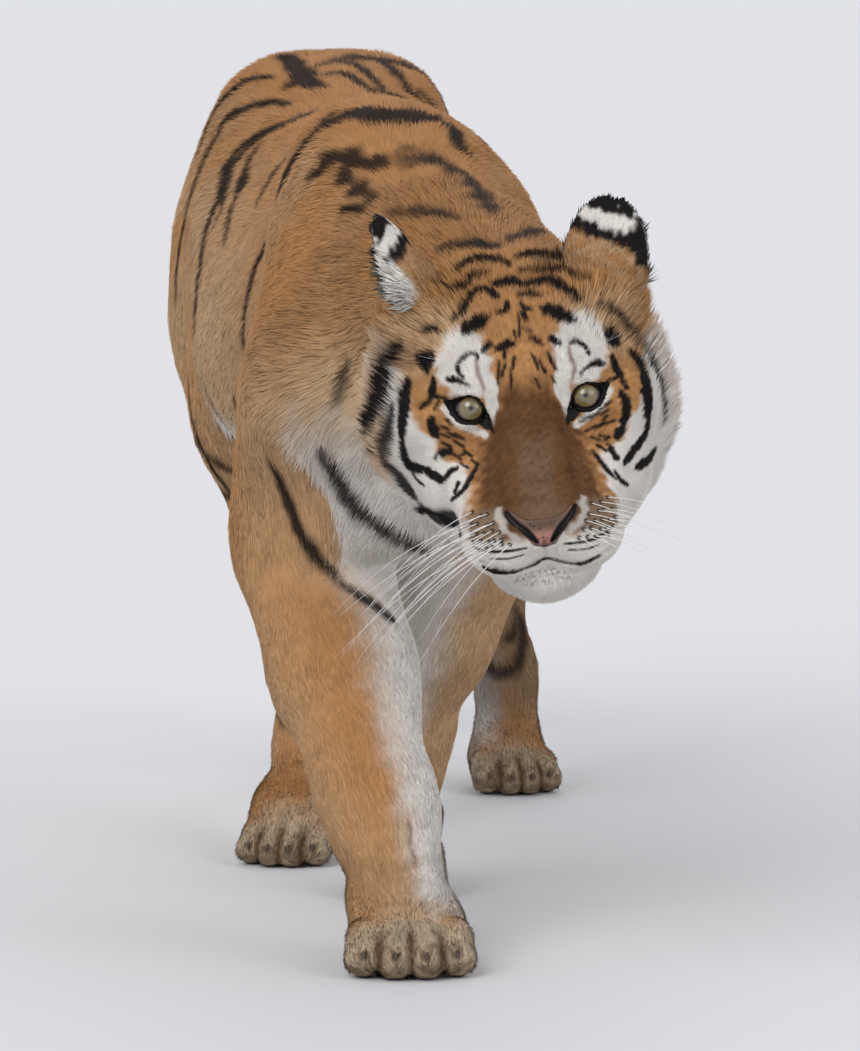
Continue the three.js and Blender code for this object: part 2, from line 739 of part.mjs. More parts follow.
// The origin is at the middle of the bounds, on the floor.
const bounds = new THREE.Box3().setFromObject(tiger);
const middle = bounds.getCenter(v3(0, 0, 0));
for (const mesh of tiger.children) mesh.geometry.translate(-middle.x, -middle.y, -bounds.min.z);

export default tiger;
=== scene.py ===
"""A walking Amur tiger as a still museum model: skin, coat, eyes, nose, whiskers and claws round the CAD.

Lengths are in metres in the row frame, unless a comment says mm. The head is shaped in its own frame in
millimetres: origin midway between the eyes, +X to the animal's left, +Y to the back of the skull, +Z up.
"""

import math

import bmesh
import bpy
import numpy as np
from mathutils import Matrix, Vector
from mathutils.bvhtree import BVHTree


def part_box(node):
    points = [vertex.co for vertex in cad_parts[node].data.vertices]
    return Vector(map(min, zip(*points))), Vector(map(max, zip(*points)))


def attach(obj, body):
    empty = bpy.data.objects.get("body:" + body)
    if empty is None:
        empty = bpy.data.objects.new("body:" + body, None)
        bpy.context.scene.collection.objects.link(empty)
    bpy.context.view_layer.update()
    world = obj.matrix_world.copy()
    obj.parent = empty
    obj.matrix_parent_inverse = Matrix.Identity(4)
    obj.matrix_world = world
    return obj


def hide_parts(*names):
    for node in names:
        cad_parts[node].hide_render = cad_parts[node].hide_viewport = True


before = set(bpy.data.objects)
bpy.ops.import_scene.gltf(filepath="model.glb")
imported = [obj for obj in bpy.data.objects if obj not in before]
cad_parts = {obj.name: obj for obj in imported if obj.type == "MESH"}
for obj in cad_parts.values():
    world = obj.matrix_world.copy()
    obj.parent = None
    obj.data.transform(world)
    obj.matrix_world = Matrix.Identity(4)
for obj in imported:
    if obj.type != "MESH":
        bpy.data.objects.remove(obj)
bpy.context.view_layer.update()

# ---- Driving sizes ----
MM = 0.001
BODY_CELL = 8 * MM  # spacing of the skin's points on the body
SEAL = 1.0 * MM  # how far nodes grow before they melt together
NOSE_DROP = math.atan2(71, 163)  # the nose's place below the head's forward axis

LEGS = ("front_right", "front_left", "hind_right", "hind_left")
SIDES = {"left": 1, "right": -1}
LEG_PARTS = ("upper", "lower", "paw")
FLESH = ["head", "neck", "trunk", "tail_root", "tail_middle", "tail_tip"]
FLESH += [f"{leg}_{part}" for leg in LEGS for part in LEG_PARTS]
EARS = ["ear_left", "ear_right"]


# ---- Small tools ----
def mix(a, b, share):
    """Colours between a and b, with a share for each point."""
    return a + (b - a) * share[:, None]


def middle(node):
    """The middle of a CAD node's box."""
    low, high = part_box(node)
    return np.array((low + high) / 2)


def unit(v):
    """Vectors at length 1."""
    v = np.asarray(v, float)
    return v / np.maximum(np.linalg.norm(v, axis=-1, keepdims=True), 1e-12)


def smooth(low, high, x):
    """A smooth step from 0 at low to 1 at high; low may be the larger."""
    t = np.clip((x - low) / (high - low), 0, 1)
    return t * t * (3 - 2 * t)


def triangles_of(node):
    """A CAD node's welded points and its triangles."""
    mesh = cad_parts[node].data
    points = np.empty(len(mesh.vertices) * 3)
    mesh.vertices.foreach_get("co", points)
    mesh.calc_loop_triangles()
    corners = np.empty(len(mesh.loop_triangles) * 3, int)
    mesh.loop_triangles.foreach_get("vertices", corners)
    keys = np.round(points.reshape(-1, 3) / (0.01 * MM)).astype(int)
    _, first, same = np.unique(keys, axis=0, return_index=True, return_inverse=True)
    faces = same.reshape(-1)[corners].reshape(-1, 3)
    kept = (faces[:, 0] != faces[:, 1]) & (faces[:, 1] != faces[:, 2]) & (faces[:, 2] != faces[:, 0])
    return points.reshape(-1, 3)[first], faces[kept]


def point_normals(points, faces):
    """Unit normals at the points, weighted by their faces' areas."""
    across = np.cross(points[faces[:, 1]] - points[faces[:, 0]], points[faces[:, 2]] - points[faces[:, 0]])
    total = np.zeros_like(points)
    for k in range(3):
        for axis in range(3):
            total[:, axis] += np.bincount(faces[:, k], across[:, axis], len(points))
    return unit(total)


def mesh_object(name, points, faces):
    """A new mesh object from arrays; faces is (n, 3) or (n, 4), or a list of such arrays."""
    groups = faces if isinstance(faces, list) else [faces]
    mesh = bpy.data.meshes.new(name)
    mesh.vertices.add(len(points))
    mesh.vertices.foreach_set("co", np.ascontiguousarray(points, np.float32).reshape(-1))
    corners = np.concatenate([g.reshape(-1) for g in groups]).astype(np.int32)
    sizes = np.concatenate([np.full(len(g), g.shape[1]) for g in groups])
    mesh.loops.add(len(corners))
    mesh.loops.foreach_set("vertex_index", corners)
    mesh.polygons.add(len(sizes))
    starts = np.concatenate([[0], np.cumsum(sizes)[:-1]]).astype(np.int32)
    mesh.polygons.foreach_set("loop_start", starts)
    mesh.polygons.foreach_set("use_smooth", np.ones(len(sizes), bool))
    mesh.update(calc_edges=True)
    obj = bpy.data.objects.new(name, mesh)
    bpy.context.scene.collection.objects.link(obj)
    return obj


def curve(points, steps, closed=False):
    """A smooth curve through points, with so many steps between two of them."""
    p = np.array(points, float)
    if closed:
        q = np.concatenate([p[-1:], p, p[:2]])
    else:
        q = np.concatenate([2 * p[:1] - p[1:2], p, 2 * p[-1:] - p[-2:-1]])
    t = np.linspace(0, 1, steps, endpoint=False)[:, None]
    made = []
    for i in range(1, len(q) - 2):
        a, b, c, d = q[i - 1], q[i], q[i + 1], q[i + 2]
        made.append(
            0.5
            * (2 * b + (c - a) * t + (2 * a - 5 * b + 4 * c - d) * t**2 + (3 * b - a - 3 * c + d) * t**3)
        )
    return np.concatenate(made if closed else made + [p[-1:]])


def within(places, outline):
    """How far inside a closed outline each place is; negative outside."""
    a, b = outline, np.roll(outline, -1, axis=0)
    p = places[:, None]
    along = b - a
    t = np.clip(((p - a) * along).sum(2) / (along * along).sum(1), 0, 1)
    gap = np.linalg.norm(p - a - t[..., None] * along, axis=2).min(1)
    low = (a[:, 1] > p[..., 1]) != (b[:, 1] > p[..., 1])
    cross = a[:, 0] + (p[..., 1] - a[:, 1]) * along[:, 0] / np.where(along[:, 1] == 0, 1e-9, along[:, 1])
    inside = (low & (p[..., 0] < cross)).sum(1) % 2 == 1
    return np.where(inside, gap, -gap)


def gap_to(points, path):
    """Distance from points to a path, and where along it (0 to 1) the nearest place is."""
    best = np.full(len(points), 1e9)
    where = np.zeros(len(points))
    lengths = np.linalg.norm(np.diff(path, axis=0), axis=1)
    starts = np.concatenate([[0], np.cumsum(lengths)])
    for i, (a, b) in enumerate(zip(path[:-1], path[1:])):
        t = np.clip((points - a) @ (b - a) / max(lengths[i] ** 2, 1e-12), 0, 1)
        d = np.linalg.norm(points - a - t[:, None] * (b - a), axis=1)
        closer = d < best
        best[closer] = d[closer]
        where[closer] = ((starts[i] + t * lengths[i]) / starts[-1])[closer]
    return best, where


def grid_faces(rows, columns, wrap=True):
    """Quads between rows of points; wrap joins each row's ends."""
    i, j = np.meshgrid(np.arange(rows - 1), np.arange(columns if wrap else columns - 1), indexing="ij")
    a = (i * columns + j).ravel()
    b = (i * columns + (j + 1) % columns).ravel()
    return np.stack([a, b, b + columns, a + columns], 1)


def cushion(name, front, back, rows, columns):
    """A closed piece between two sheets of points."""
    face = grid_faces(rows, columns, wrap=False)
    count = len(front)
    rim = np.concatenate([
        np.arange(columns),
        np.arange(1, rows) * columns + columns - 1,
        (rows - 1) * columns + np.arange(columns - 2, -1, -1),
        np.arange(rows - 2, 0, -1) * columns,
    ])
    wall = np.stack([rim, rim + count, np.roll(rim, -1) + count, np.roll(rim, -1)], 1)
    return mesh_object(name, np.concatenate([front, back]), [face, face[:, ::-1] + count, wall])


def paint(obj, colours):
    """Linear colours on an object's points."""
    layer = obj.data.color_attributes.new("colour", "FLOAT_COLOR", "POINT")
    full = np.ones((len(colours), 4), np.float32)
    full[:, :3] = colours
    layer.data.foreach_set("color", full.reshape(-1))


def stacked(parts):
    """The points and faces of several meshes as those of one."""
    points, faces, count = [], [], 0
    for p, f in parts:
        points.append(p)
        faces.append(f + count)
        count += len(p)
    return np.concatenate(points), np.concatenate(faces)


def ball_mesh(centre, radius, columns=24, rows=14):
    """Points and triangles of a ball with its poles along Z."""
    turns = np.linspace(0, 2 * math.pi, columns, endpoint=False)
    tilts = np.linspace(0, math.pi, rows + 1)[1:-1]
    ring = np.stack([np.cos(turns), np.sin(turns)], 1)
    points = [[0, 0, 1]]
    for tilt in tilts:
        points += [[x * math.sin(tilt), y * math.sin(tilt), math.cos(tilt)] for x, y in ring]
    points.append([0, 0, -1])
    faces = []
    for i in range(columns):
        j = (i + 1) % columns
        faces.append([0, 1 + i, 1 + j])
        for r in range(rows - 2):
            a, b = 1 + r * columns, 1 + (r + 1) * columns
            faces += [[a + i, b + i, b + j], [a + i, b + j, a + j]]
        last = 1 + (rows - 2) * columns
        faces.append([last + i, len(points) - 1, last + j])
    return np.array(points) * radius + centre, np.array(faces)


# ---- The head's frame ----
EYE_PLACES = {side: middle(f"eye_{side}") for side in SIDES}
HEAD_ORIGIN = (EYE_PLACES["left"] + EYE_PLACES["right"]) / 2
HEAD_X = unit(EYE_PLACES["left"] - EYE_PLACES["right"])
to_nose = middle("nose") - HEAD_ORIGIN
to_nose = unit(to_nose - HEAD_X * (to_nose @ HEAD_X))
aside = np.cross(HEAD_X, to_nose)
HEAD_Y = -math.cos(NOSE_DROP) * to_nose + math.sin(NOSE_DROP) * aside
HEAD_Z = -math.sin(NOSE_DROP) * to_nose - math.cos(NOSE_DROP) * aside
HEAD_TURN = np.stack([HEAD_X, HEAD_Y, HEAD_Z])


def to_head(points):
    """Head coordinates in mm."""
    return (points - HEAD_ORIGIN) @ HEAD_TURN.T / MM


def from_head(places):
    """Places in metres from head coordinates in mm."""
    return HEAD_ORIGIN + np.asarray(places, float) @ HEAD_TURN * MM


# ---- Rounded forms, as fields in mm ----
def turned(p, tilt):
    """p turned back by the angles in degrees about X, then Y, then Z."""
    x, y, z = p.T
    for degrees, axis in zip(tilt, "xyz"):
        c, s = math.cos(math.radians(degrees)), math.sin(math.radians(degrees))
        if axis == "x":
            y, z = c * y + s * z, c * z - s * y
        elif axis == "y":
            z, x = c * z + s * x, c * x - s * z
        else:
            x, y = c * x + s * y, c * y - s * x
    return np.stack([x, y, z], 1)


def egg(p, centre, radii, tilt=(0, 0, 0)):
    """About the distance from an ellipsoid, negative inside."""
    q = turned(p - np.array(centre, float), tilt) / radii
    a = np.linalg.norm(q, axis=1)
    b = np.linalg.norm(q / radii, axis=1)
    return a * (a - 1) / np.maximum(b, 1e-9)


def cone(p, a, b, radius_a, radius_b):
    """The distance from a cone with a ball at each end, negative inside."""
    a, b = np.array(a, float), np.array(b, float)
    t = np.clip((p - a) @ (b - a) / ((b - a) @ (b - a)), 0, 1)
    near = a + t[:, None] * (b - a)
    return np.linalg.norm(p - near, axis=1) - (radius_a + (radius_b - radius_a) * t)


def melt(fields, blend):
    """The smooth union of fields."""
    d = fields[0]
    for e in fields[1:]:
        h = np.maximum(blend - np.abs(d - e), 0) / blend
        d = np.minimum(d, e) - h * h * blend / 4
    return d


def carve(field, tool, blend):
    """The field with the tool cut out of it, rounded at the edge."""
    h = np.maximum(blend - np.abs(field + tool), 0) / blend
    return np.maximum(field, -tool) + h * h * blend / 4


def onto(points, field, passes=6, most=4.0):
    """Moves points onto a field's surface, at most so far in each pass."""
    step = 0.4
    for _ in range(passes):
        d = field(points)
        slope = np.stack([(field(points + step * e) - d) / step for e in np.eye(3)], 1)
        size = np.maximum((slope * slope).sum(1), 0.25)
        points = points - slope * (np.clip(d, -most, most) / size)[:, None]
    return points


# ---- The skin as arrays ----
class Skin:
    """The skin's mesh, with the sums over neighbours that its shaping needs."""

    def __init__(self, mesh):
        self.take(mesh)

    def take(self, mesh):
        """Reads a mesh's points and edges."""
        self.mesh = mesh
        count = len(mesh.vertices)
        flat = np.empty(count * 3)
        mesh.vertices.foreach_get("co", flat)
        self.points = flat.reshape(-1, 3).copy()
        edges = np.empty(len(mesh.edges) * 2, int)
        mesh.edges.foreach_get("vertices", edges)
        self.edges = edges.reshape(-1, 2)
        self.valence = np.maximum(np.bincount(edges, minlength=count), 1)

    def mean(self, values):
        """Each point's mean over its neighbours."""
        a, b = self.edges.T
        count = len(self.points)
        columns = values.reshape(count, -1).T
        sums = [np.bincount(a, v[b], count) + np.bincount(b, v[a], count) for v in columns]
        return (np.stack(sums, 1) / self.valence[:, None]).reshape(values.shape)

    def relax(self, values, passes, share=0.5):
        """Draws values towards their neighbours' mean, pass by pass."""
        share = np.asarray(share, float)
        if share.ndim and values.ndim > 1:
            share = share[:, None]
        for _ in range(passes):
            values = values + share * (self.mean(values) - values)
        return values

    def even(self, passes, share=0.5):
        """Evens the shape out, giving back most of what the evening takes from rounded forms."""
        first = self.relax(self.points, passes, share)
        self.points = first + self.relax(self.points - first, passes, share)

    def normals(self):
        """The unit normal at each point."""
        self.write()
        flat = np.empty(len(self.points) * 3)
        self.mesh.vertex_normals.foreach_get("vector", flat)
        return flat.reshape(-1, 3)

    def write(self):
        """Gives the mesh the present points."""
        self.mesh.vertices.foreach_set("co", self.points.astype(np.float32).reshape(-1))
        self.mesh.update()

    def split(self, chosen):
        """Halves the edges among the chosen points."""
        self.write()
        bm = bmesh.new()
        bm.from_mesh(self.mesh)
        edges = [e for e in bm.edges if chosen[e.verts[0].index] and chosen[e.verts[1].index]]
        bmesh.ops.subdivide_edges(bm, edges=edges, cuts=1, use_grid_fill=True, smooth=0)
        bm.to_mesh(self.mesh)
        bm.free()
        self.take(self.mesh)


def melted_mesh():
    """One closed mesh round all the flesh, from the CAD nodes."""
    shapes = []
    for node in FLESH + ["nose"]:
        p, f = triangles_of(node)
        shapes.append((p + point_normals(p, f) * SEAL, f))
    for sign in SIDES.values():  # the sockets are filled, then modelled anew
        shapes.append(ball_mesh(from_head([sign * 64, 2, 0]), 30 * MM))
    rough = mesh_object("rough", *stacked(shapes))
    remesh = rough.modifiers.new("melt", "REMESH")
    remesh.mode = "VOXEL"
    remesh.voxel_size = BODY_CELL
    remesh.adaptivity = 0
    graph = bpy.context.evaluated_depsgraph_get()
    mesh = bpy.data.meshes.new_from_object(rough.evaluated_get(graph))
    bpy.data.objects.remove(rough)
    bm = bmesh.new()
    bm.from_mesh(mesh)
    keep_largest(bm)
    bm.to_mesh(mesh)
    bm.free()
    return mesh


def keep_largest(bm):
    """Drops every shell but the largest."""
    bm.verts.ensure_lookup_table()
    shell = [-1] * len(bm.verts)
    sizes = []
    for start in bm.verts:
        if shell[start.index] >= 0:
            continue
        shell[start.index] = len(sizes)
        stack, size = [start], 0
        while stack:
            v = stack.pop()
            size += 1
            for e in v.link_edges:
                other = e.other_vert(v)
                if shell[other.index] < 0:
                    shell[other.index] = len(sizes)
                    stack.append(other)
        sizes.append(size)
    best = sizes.index(max(sizes))
    bmesh.ops.delete(bm, geom=[v for v in bm.verts if shell[v.index] != best], context="VERTS")


def nearest_nodes(points):
    """For each point, the index in FLESH of the CAD node whose surface is nearest."""
    shapes = [triangles_of(node) for node in FLESH]
    owner = np.repeat(np.arange(len(FLESH)), [len(faces) for _, faces in shapes])
    corners, faces = stacked(shapes)
    tree = BVHTree.FromPolygons(corners.tolist(), faces.tolist())
    return np.array([owner[tree.find_nearest(Vector(p))[2]] for p in points])


def by_node(values):
    """A value for each skin point, from a table by part of a node's name."""
    table = [next(v for key, v in values.items() if key in node) for node in FLESH]
    return np.array(table, float)[node_of]


# ---- The head's shape, in mm ----
EYE = 62.0  # from the middle to each eye's centre
EYE_RADIUS = 19.5
LID_RADIUS = 22.5


def both(make):
    """A form on each side of the head."""
    return [make(1), make(-1)]


def head_forms(p):
    """The forms that melt into the head, for places in the head's mm."""
    forms = [
        egg(p, (0, 98, 0), (115, 106, 90)),  # cranium
        egg(p, (0, 40, 9), (77, 61, 41), (-28, 0, 0)),  # forehead
        egg(p, (0, -138, -76), (42, 27, 28)),  # tip of the muzzle
        egg(p, (0, -102, -148), (46, 48, 30)),  # chin
    ]
    forms += both(lambda s: cone(p, (s * 14, 2, -18), (s * 17, -116, -60), 32, 28))  # bridge
    forms += both(lambda s: egg(p, (s * 41, -112, -102), (45, 48, 38), (0, 0, s * -14)))  # whisker pad
    forms += both(lambda s: cone(p, (s * 82, 28, -50), (s * 46, -84, -86), 43, 37))  # cheek to muzzle
    forms += both(lambda s: cone(p, (s * 26, -82, -140), (s * 82, 62, -120), 34, 53))  # jaw
    forms += both(lambda s: egg(p, (s * 84, 14, -91), (42, 57, 46)))  # jowl
    forms += both(lambda s: egg(p, (s * 90, 31, -24), (48, 54, 42)))  # cheekbone
    forms += both(lambda s: egg(p, (s * 58, 20, 25), (32, 26, 14)))  # brow
    forms += both(lambda s: egg(p, (s * 93 - 4, 82, -69), (63, 64, 76)))  # cheek
    forms += both(lambda s: egg(p, (s * 109 - 7, 104, -55), (55, 44, 100), (0, s * -3, s * 20)))  # ruff
    forms += both(lambda s: egg(p, (s * 100 - 6, 107, 56), (47, 45, 46)))  # ear's root
    forms.append(egg(p, (-100, 84, 60), (34, 32, 33)))  # fur before the right ear
    return forms


def head_field(p):
    """The head's field with its eye sockets and lids."""
    d = melt(head_forms(p), 26)
    for s in (1, -1):
        d = carve(d, egg(p, (s * (EYE + 2), -40, 4), (30, 22, 24)), 14)  # socket
        d = melt([d, egg(p, (s * EYE, 0, 0), (LID_RADIUS,) * 3)], 9)  # lids
    return d


# ---- Eyes and lids ----
# Outlines seen along the eye's axis, in mm outwards and upwards from it, from the outer corner over the top.
OPENING = [
    (17.5, 6), (13, 10), (6, 12.6), (-2, 12.8), (-9, 9.8), (-14, 3), (-16.5, -4.5),
    (-18, -11), (-12, -11), (-5, -12.6), (3, -12.8), (10, -9.5), (15, -2),
]
LID_EDGE = [
    (26, 11.5), (18, 13.5), (8, 15.6), (-3, 15.8), (-11.5, 12.6), (-17.8, 5), (-21, -6),
    (-27, -28), (-19, -25), (-9, -18), (2, -17), (12.5, -13), (20.5, -3.5),
]


LID_SECTION = [  # from the eyeball outwards: share of the way to the edge, and mm above eyeball or fur
    (0, -3), (0, 0.6), (0.02, 1.5), (0.1, 2.3), (0.25, 2.6), (0.5, 2.3), (0.75, 1.5), (1, 0.4), (1.08, -5),
]
GAZE = (0.03, -0.87, 0.49)  # where both eyes look
PUPIL, IRIS = 2.5 / EYE_RADIUS, 14.2 / EYE_RADIUS  # angles from the gaze


class EyeFrame:
    """An eye's own frame in mm: u outwards, v upwards, w along the gaze."""

    def __init__(self, side):
        s = SIDES[side]
        self.centre = np.array([s * EYE, 0, 0], float)
        self.w = unit([s * 0.16, -0.88, 0.42])
        self.u = unit(np.array([s, 0, 0]) - self.w * self.w[0] * s)
        self.v = np.cross(self.w, self.u) * s
        self.v *= np.sign(self.v[2])
        self.turn = np.stack([self.u, self.v, self.w])

    def to(self, head_points):
        return (head_points - self.centre) @ self.turn.T

    def back_from(self, places):
        return self.centre + np.asarray(places, float) @ self.turn


EYE_FRAMES = {side: EyeFrame(side) for side in SIDES}


def sink_under_lids(skin):
    """Presses the skin in under the lids' bare rims and the eyeballs."""
    for eye in EYE_FRAMES.values():
        p = eye.to(to_head(skin.points))
        near = (np.hypot(p[:, 0], p[:, 1]) < 45) & (p[:, 2] > 0)
        q = p[near]
        inside = within(q[:, :2], curve(LID_EDGE, 4, closed=True))
        reach = np.sqrt(np.maximum((EYE_RADIUS - 4) ** 2 - (q[:, :2] ** 2).sum(1), 0))
        floor = np.maximum(reach, q[:, 2] - 13)
        share = smooth(0.3, 3.0, inside)
        q[:, 2] += share * (np.minimum(q[:, 2], floor) - q[:, 2])
        p[near] = q
        skin.points[near] = from_head(eye.back_from(q))


def skin_tree():
    """A search tree over the skin's faces as they are now."""
    skin.write()
    faces = [list(f.vertices) for f in skin.mesh.polygons]
    return BVHTree.FromPolygons(skin.points.tolist(), faces)


# ---- The paws' shape ----
TOE = {"front_right": 23, "front_left": 19, "hind_right": 20, "hind_left": 20}  # radii of skin, mm
PALM = {
    "front_right": (59, 57, 41),
    "front_left": (41, 42, 36),
    "hind_right": (46, 51, 41),
    "hind_left": (46, 51, 41),
}
REACH = {"front_right": 66, "front_left": 50, "hind_right": 56, "hind_left": 56}
RISE = {"front_left": 26}  # height of the heel above a flat foot's


class Paw:
    """A paw's own frame in mm: the origin under its palm, -Y ahead, +Z up."""

    def __init__(self, leg):
        claws = [middle(f"{leg}_claw_{i}") for i in (1, 2, 3, 4)]
        row = claws[3] - claws[0]
        self.across = unit(np.array([row[0], row[1], 0]))
        self.back = np.array([-self.across[1], self.across[0], 0])
        self.spread = np.linalg.norm(row[:2]) / 3 / MM
        self.toe, self.palm, self.reach, self.rise = TOE[leg], PALM[leg], REACH[leg], RISE.get(leg, 0)
        outer = (claws[0] + claws[3]) / 2 + self.back * (self.reach + self.toe + 8) * MM
        self.origin = np.array([outer[0], outer[1], 0])
        self.turn = np.stack([self.across, self.back, [0, 0, 1]])

    def to(self, points):
        return (points - self.origin) @ self.turn.T / MM

    def back_from(self, places):
        return self.origin + np.asarray(places, float) @ self.turn * MM

    def toes(self):
        """Each toe's knuckle and tip."""
        places = []
        for i in range(4):
            x = (i - 1.5) * self.spread
            ahead = self.reach + (16 if i in (1, 2) else 0)
            knuckle = (x * 0.9, 30 - ahead, 1.7 * self.toe + 0.6 * self.rise)
            places.append((knuckle, (x, -ahead, self.toe - 2)))
        return places

    def field(self, p, shank):
        """The foot's field: palm, shank and toes."""
        forms = [egg(p, (0, 4, 36 + self.rise), self.palm), cone(p, *shank)]
        d = melt(forms, 20)
        toes = [cone(p, knuckle, tip, self.toe, self.toe - 2) for knuckle, tip in self.toes()]
        return melt([d, melt(toes, 5)], 9)


PAWS = {leg: Paw(leg) for leg in LEGS}


def shape_paws(skin):
    """Draws the feet of the skin onto the paws' rounded forms."""
    for leg, paw in PAWS.items():
        p = paw.to(skin.points)
        mine = np.isin(node_of, [FLESH.index(f"{leg}_{part}") for part in ("lower", "paw")])
        mine &= p[:, 2] < 125 + paw.rise
        high = mine & (p[:, 2] > 95 + paw.rise)
        ankle = p[high].mean(0)
        radius = np.linalg.norm((p[high] - ankle)[:, :2], axis=1).mean()
        heel = np.array([0, 10, 44 + paw.rise])
        shank = (heel, ankle + (ankle - heel) * 0.6, radius, radius)
        q = onto(p[mine], lambda x: paw.field(x, shank))
        weight = (1 - smooth(50, 100, p[mine][:, 2] - paw.rise))[:, None]
        q = p[mine] + weight * (q - p[mine])
        q[:, 2] = np.maximum(q[:, 2], 1.0)
        skin.points[mine] = paw.back_from(q)


def shape_head(skin):
    """Draws the front of the skin's head onto the head's rounded forms."""
    p = to_head(skin.points)
    weight = 1 - smooth(88, 150, p[:, 1])
    weight *= np.isin(node_of, [FLESH.index("head"), FLESH.index("neck")])
    mine = weight > 0
    q = onto(p[mine], head_field)
    skin.points[mine] = from_head(p[mine] + weight[mine][:, None] * (q - p[mine]))


# ---- The skin's shape ----
# How far the CAD's facets are evened out: the larger the facets, the more.
EVENING = {"trunk": 1.0, "neck": 0.8, "upper": 0.9, "tail": 0.45, "lower": 0.55, "paw": 0.22, "head": 0.4}
COAT_DEPTH = {"trunk": 3, "neck": 6, "head": 7, "tail": 4, "upper": 3, "lower": 2.5, "paw": 2.5}  # mm
SWELLS = np.array([  # middle and radii in metres of places that the evening leaves too thin, and mm to add
    [(-0.05, -0.44, 0.93), (0.13, 0.10, 0.12), (0, 0, 16)],  # withers
    [(-0.20, 0.28, 0.80), (0.10, 0.20, 0.12), (-13, 0, 4)],  # rump
    [(-0.24, 0.12, 0.68), (0.12, 0.40, 0.22), (-9, 0, 0)],  # flank
    [(-0.20, 0.08, 0.53), (0.10, 0.30, 0.09), (-12, 0, 0)],  # belly's edge
    [(-0.19, -0.68, 0.33), (0.08, 0.14, 0.13), (-9, 0, 0)],  # right forearm
])
skin = Skin(melted_mesh())
node_of = nearest_nodes(skin.points)
wide = skin.relax(by_node(EVENING), 30)
skin.even(24, 0.5 * wide)
skin.even(70, 0.5 * smooth(0.3, 1.0, wide))
depth = skin.relax(by_node(COAT_DEPTH) * MM, 60)
skin.points -= skin.normals() * depth[:, None]
skin.even(8, 0.5)
for centre, radii, fuller in SWELLS:
    near = (((skin.points - centre) / radii) ** 2).sum(1)
    skin.points += np.exp(-near)[:, None] * fuller * MM
shape_head(skin)
shape_paws(skin)
skin.even(2, 0.4)


def refine(chosen):
    """Splits the skin where chosen, and finds the nodes of the new points."""
    global node_of
    skin.split(chosen)
    node_of = nearest_nodes(skin.points)


local = to_head(skin.points)
in_head = (node_of == FLESH.index("head")) & (local[:, 1] < 150)
in_paw = np.isin(node_of, [FLESH.index(f"{leg}_paw") for leg in LEGS]) & (skin.points[:, 2] < 0.11)
refine(in_head | in_paw)
shape_head(skin)
shape_paws(skin)
local = to_head(skin.points)
refine((node_of == FLESH.index("head")) & (local[:, 1] < 18))
shape_head(skin)


# ---- Places on the face ----
# The face's marks are set out on a flat sheet that leans back by 30 degrees over the muzzle and brow: mm to
# the animal's left and upwards from the point midway between the eyes. They drop onto the skin along SHEET_W.
SHEET_LEAN = math.radians(30)
SHEET_V = np.array([0, math.sin(SHEET_LEAN), math.cos(SHEET_LEAN)])
SHEET_W = np.array([0, -math.cos(SHEET_LEAN), math.sin(SHEET_LEAN)])


def dropped(places, tree):
    """Head coordinates in mm of places on the sheet, dropped onto the skin, and the skin's normals there."""
    found, normals = [], []
    for a, b in places:
        start = np.array([a, 0, 0]) + b * SHEET_V + 400 * SHEET_W
        hit, normal = tree.ray_cast(Vector(from_head(start)), Vector(-SHEET_W @ HEAD_TURN))[:2]
        if hit is None:
            hit, normal = tree.find_nearest(Vector(from_head(start - 380 * SHEET_W)))[:2]
        found.append(np.array(hit))
        normals.append(np.array(normal))
    return to_head(np.array(found)), np.array(normals) @ HEAD_TURN.T


def on_face(places, tree):
    """Head coordinates in mm of places on the sheet, dropped onto the skin."""
    return dropped(places, tree)[0]


MOUTH = [(0, -168), (10, -172), (22, -177), (38, -179), (54, -175), (68, -168), (82, -158)]
PHILTRUM = [(0, -152), (0, -160), (0, -169)]
FOLDS = [  # along the muzzle and beside the bridge: path, depth and width
    ([(38, -22), (41, -60), (44, -95), (46, -112)], 2.5, 9),
    ([(56, -34), (72, -52), (84, -66)], 1.6, 7),
]


def press(skin, places, depth, width, tree):
    """Presses a groove into the skin along a path on the face."""
    path = on_face(curve(places, 4), tree)
    p = to_head(skin.points)
    low, high = path.min(0) - 3 * width, path.max(0) + 3 * width
    near = np.all((p > low) & (p < high), axis=1)
    gap, where = gap_to(p[near], path)
    ends = smooth(0, 0.12, where) * smooth(0, 0.12, 1 - where) if len(places) > 3 else 1
    skin.points[near] -= skin.normals()[near] * (depth * ends * np.exp(-((gap / width) ** 2)))[:, None] * MM


# ---- Ears ----
EAR_HALF, EAR_HEIGHT, EAR_DEPTH = 50, 107, 37  # mm
EAR_WRAP = 1.35  # radians from the middle of the cup to each rim
EAR_PLACES = {  # root in the head's mm, the way it points, and the turn of its opening in degrees
    "left": ((98, 112, 66), (0.2, 0.1, 1), 150),
    "right": ((-112, 108, 77), (-0.31, 0.1, 1), -102),
}
FLUFF = {"left": 8, "right": 21}  # mm that the hair in the cup is longer than on its back


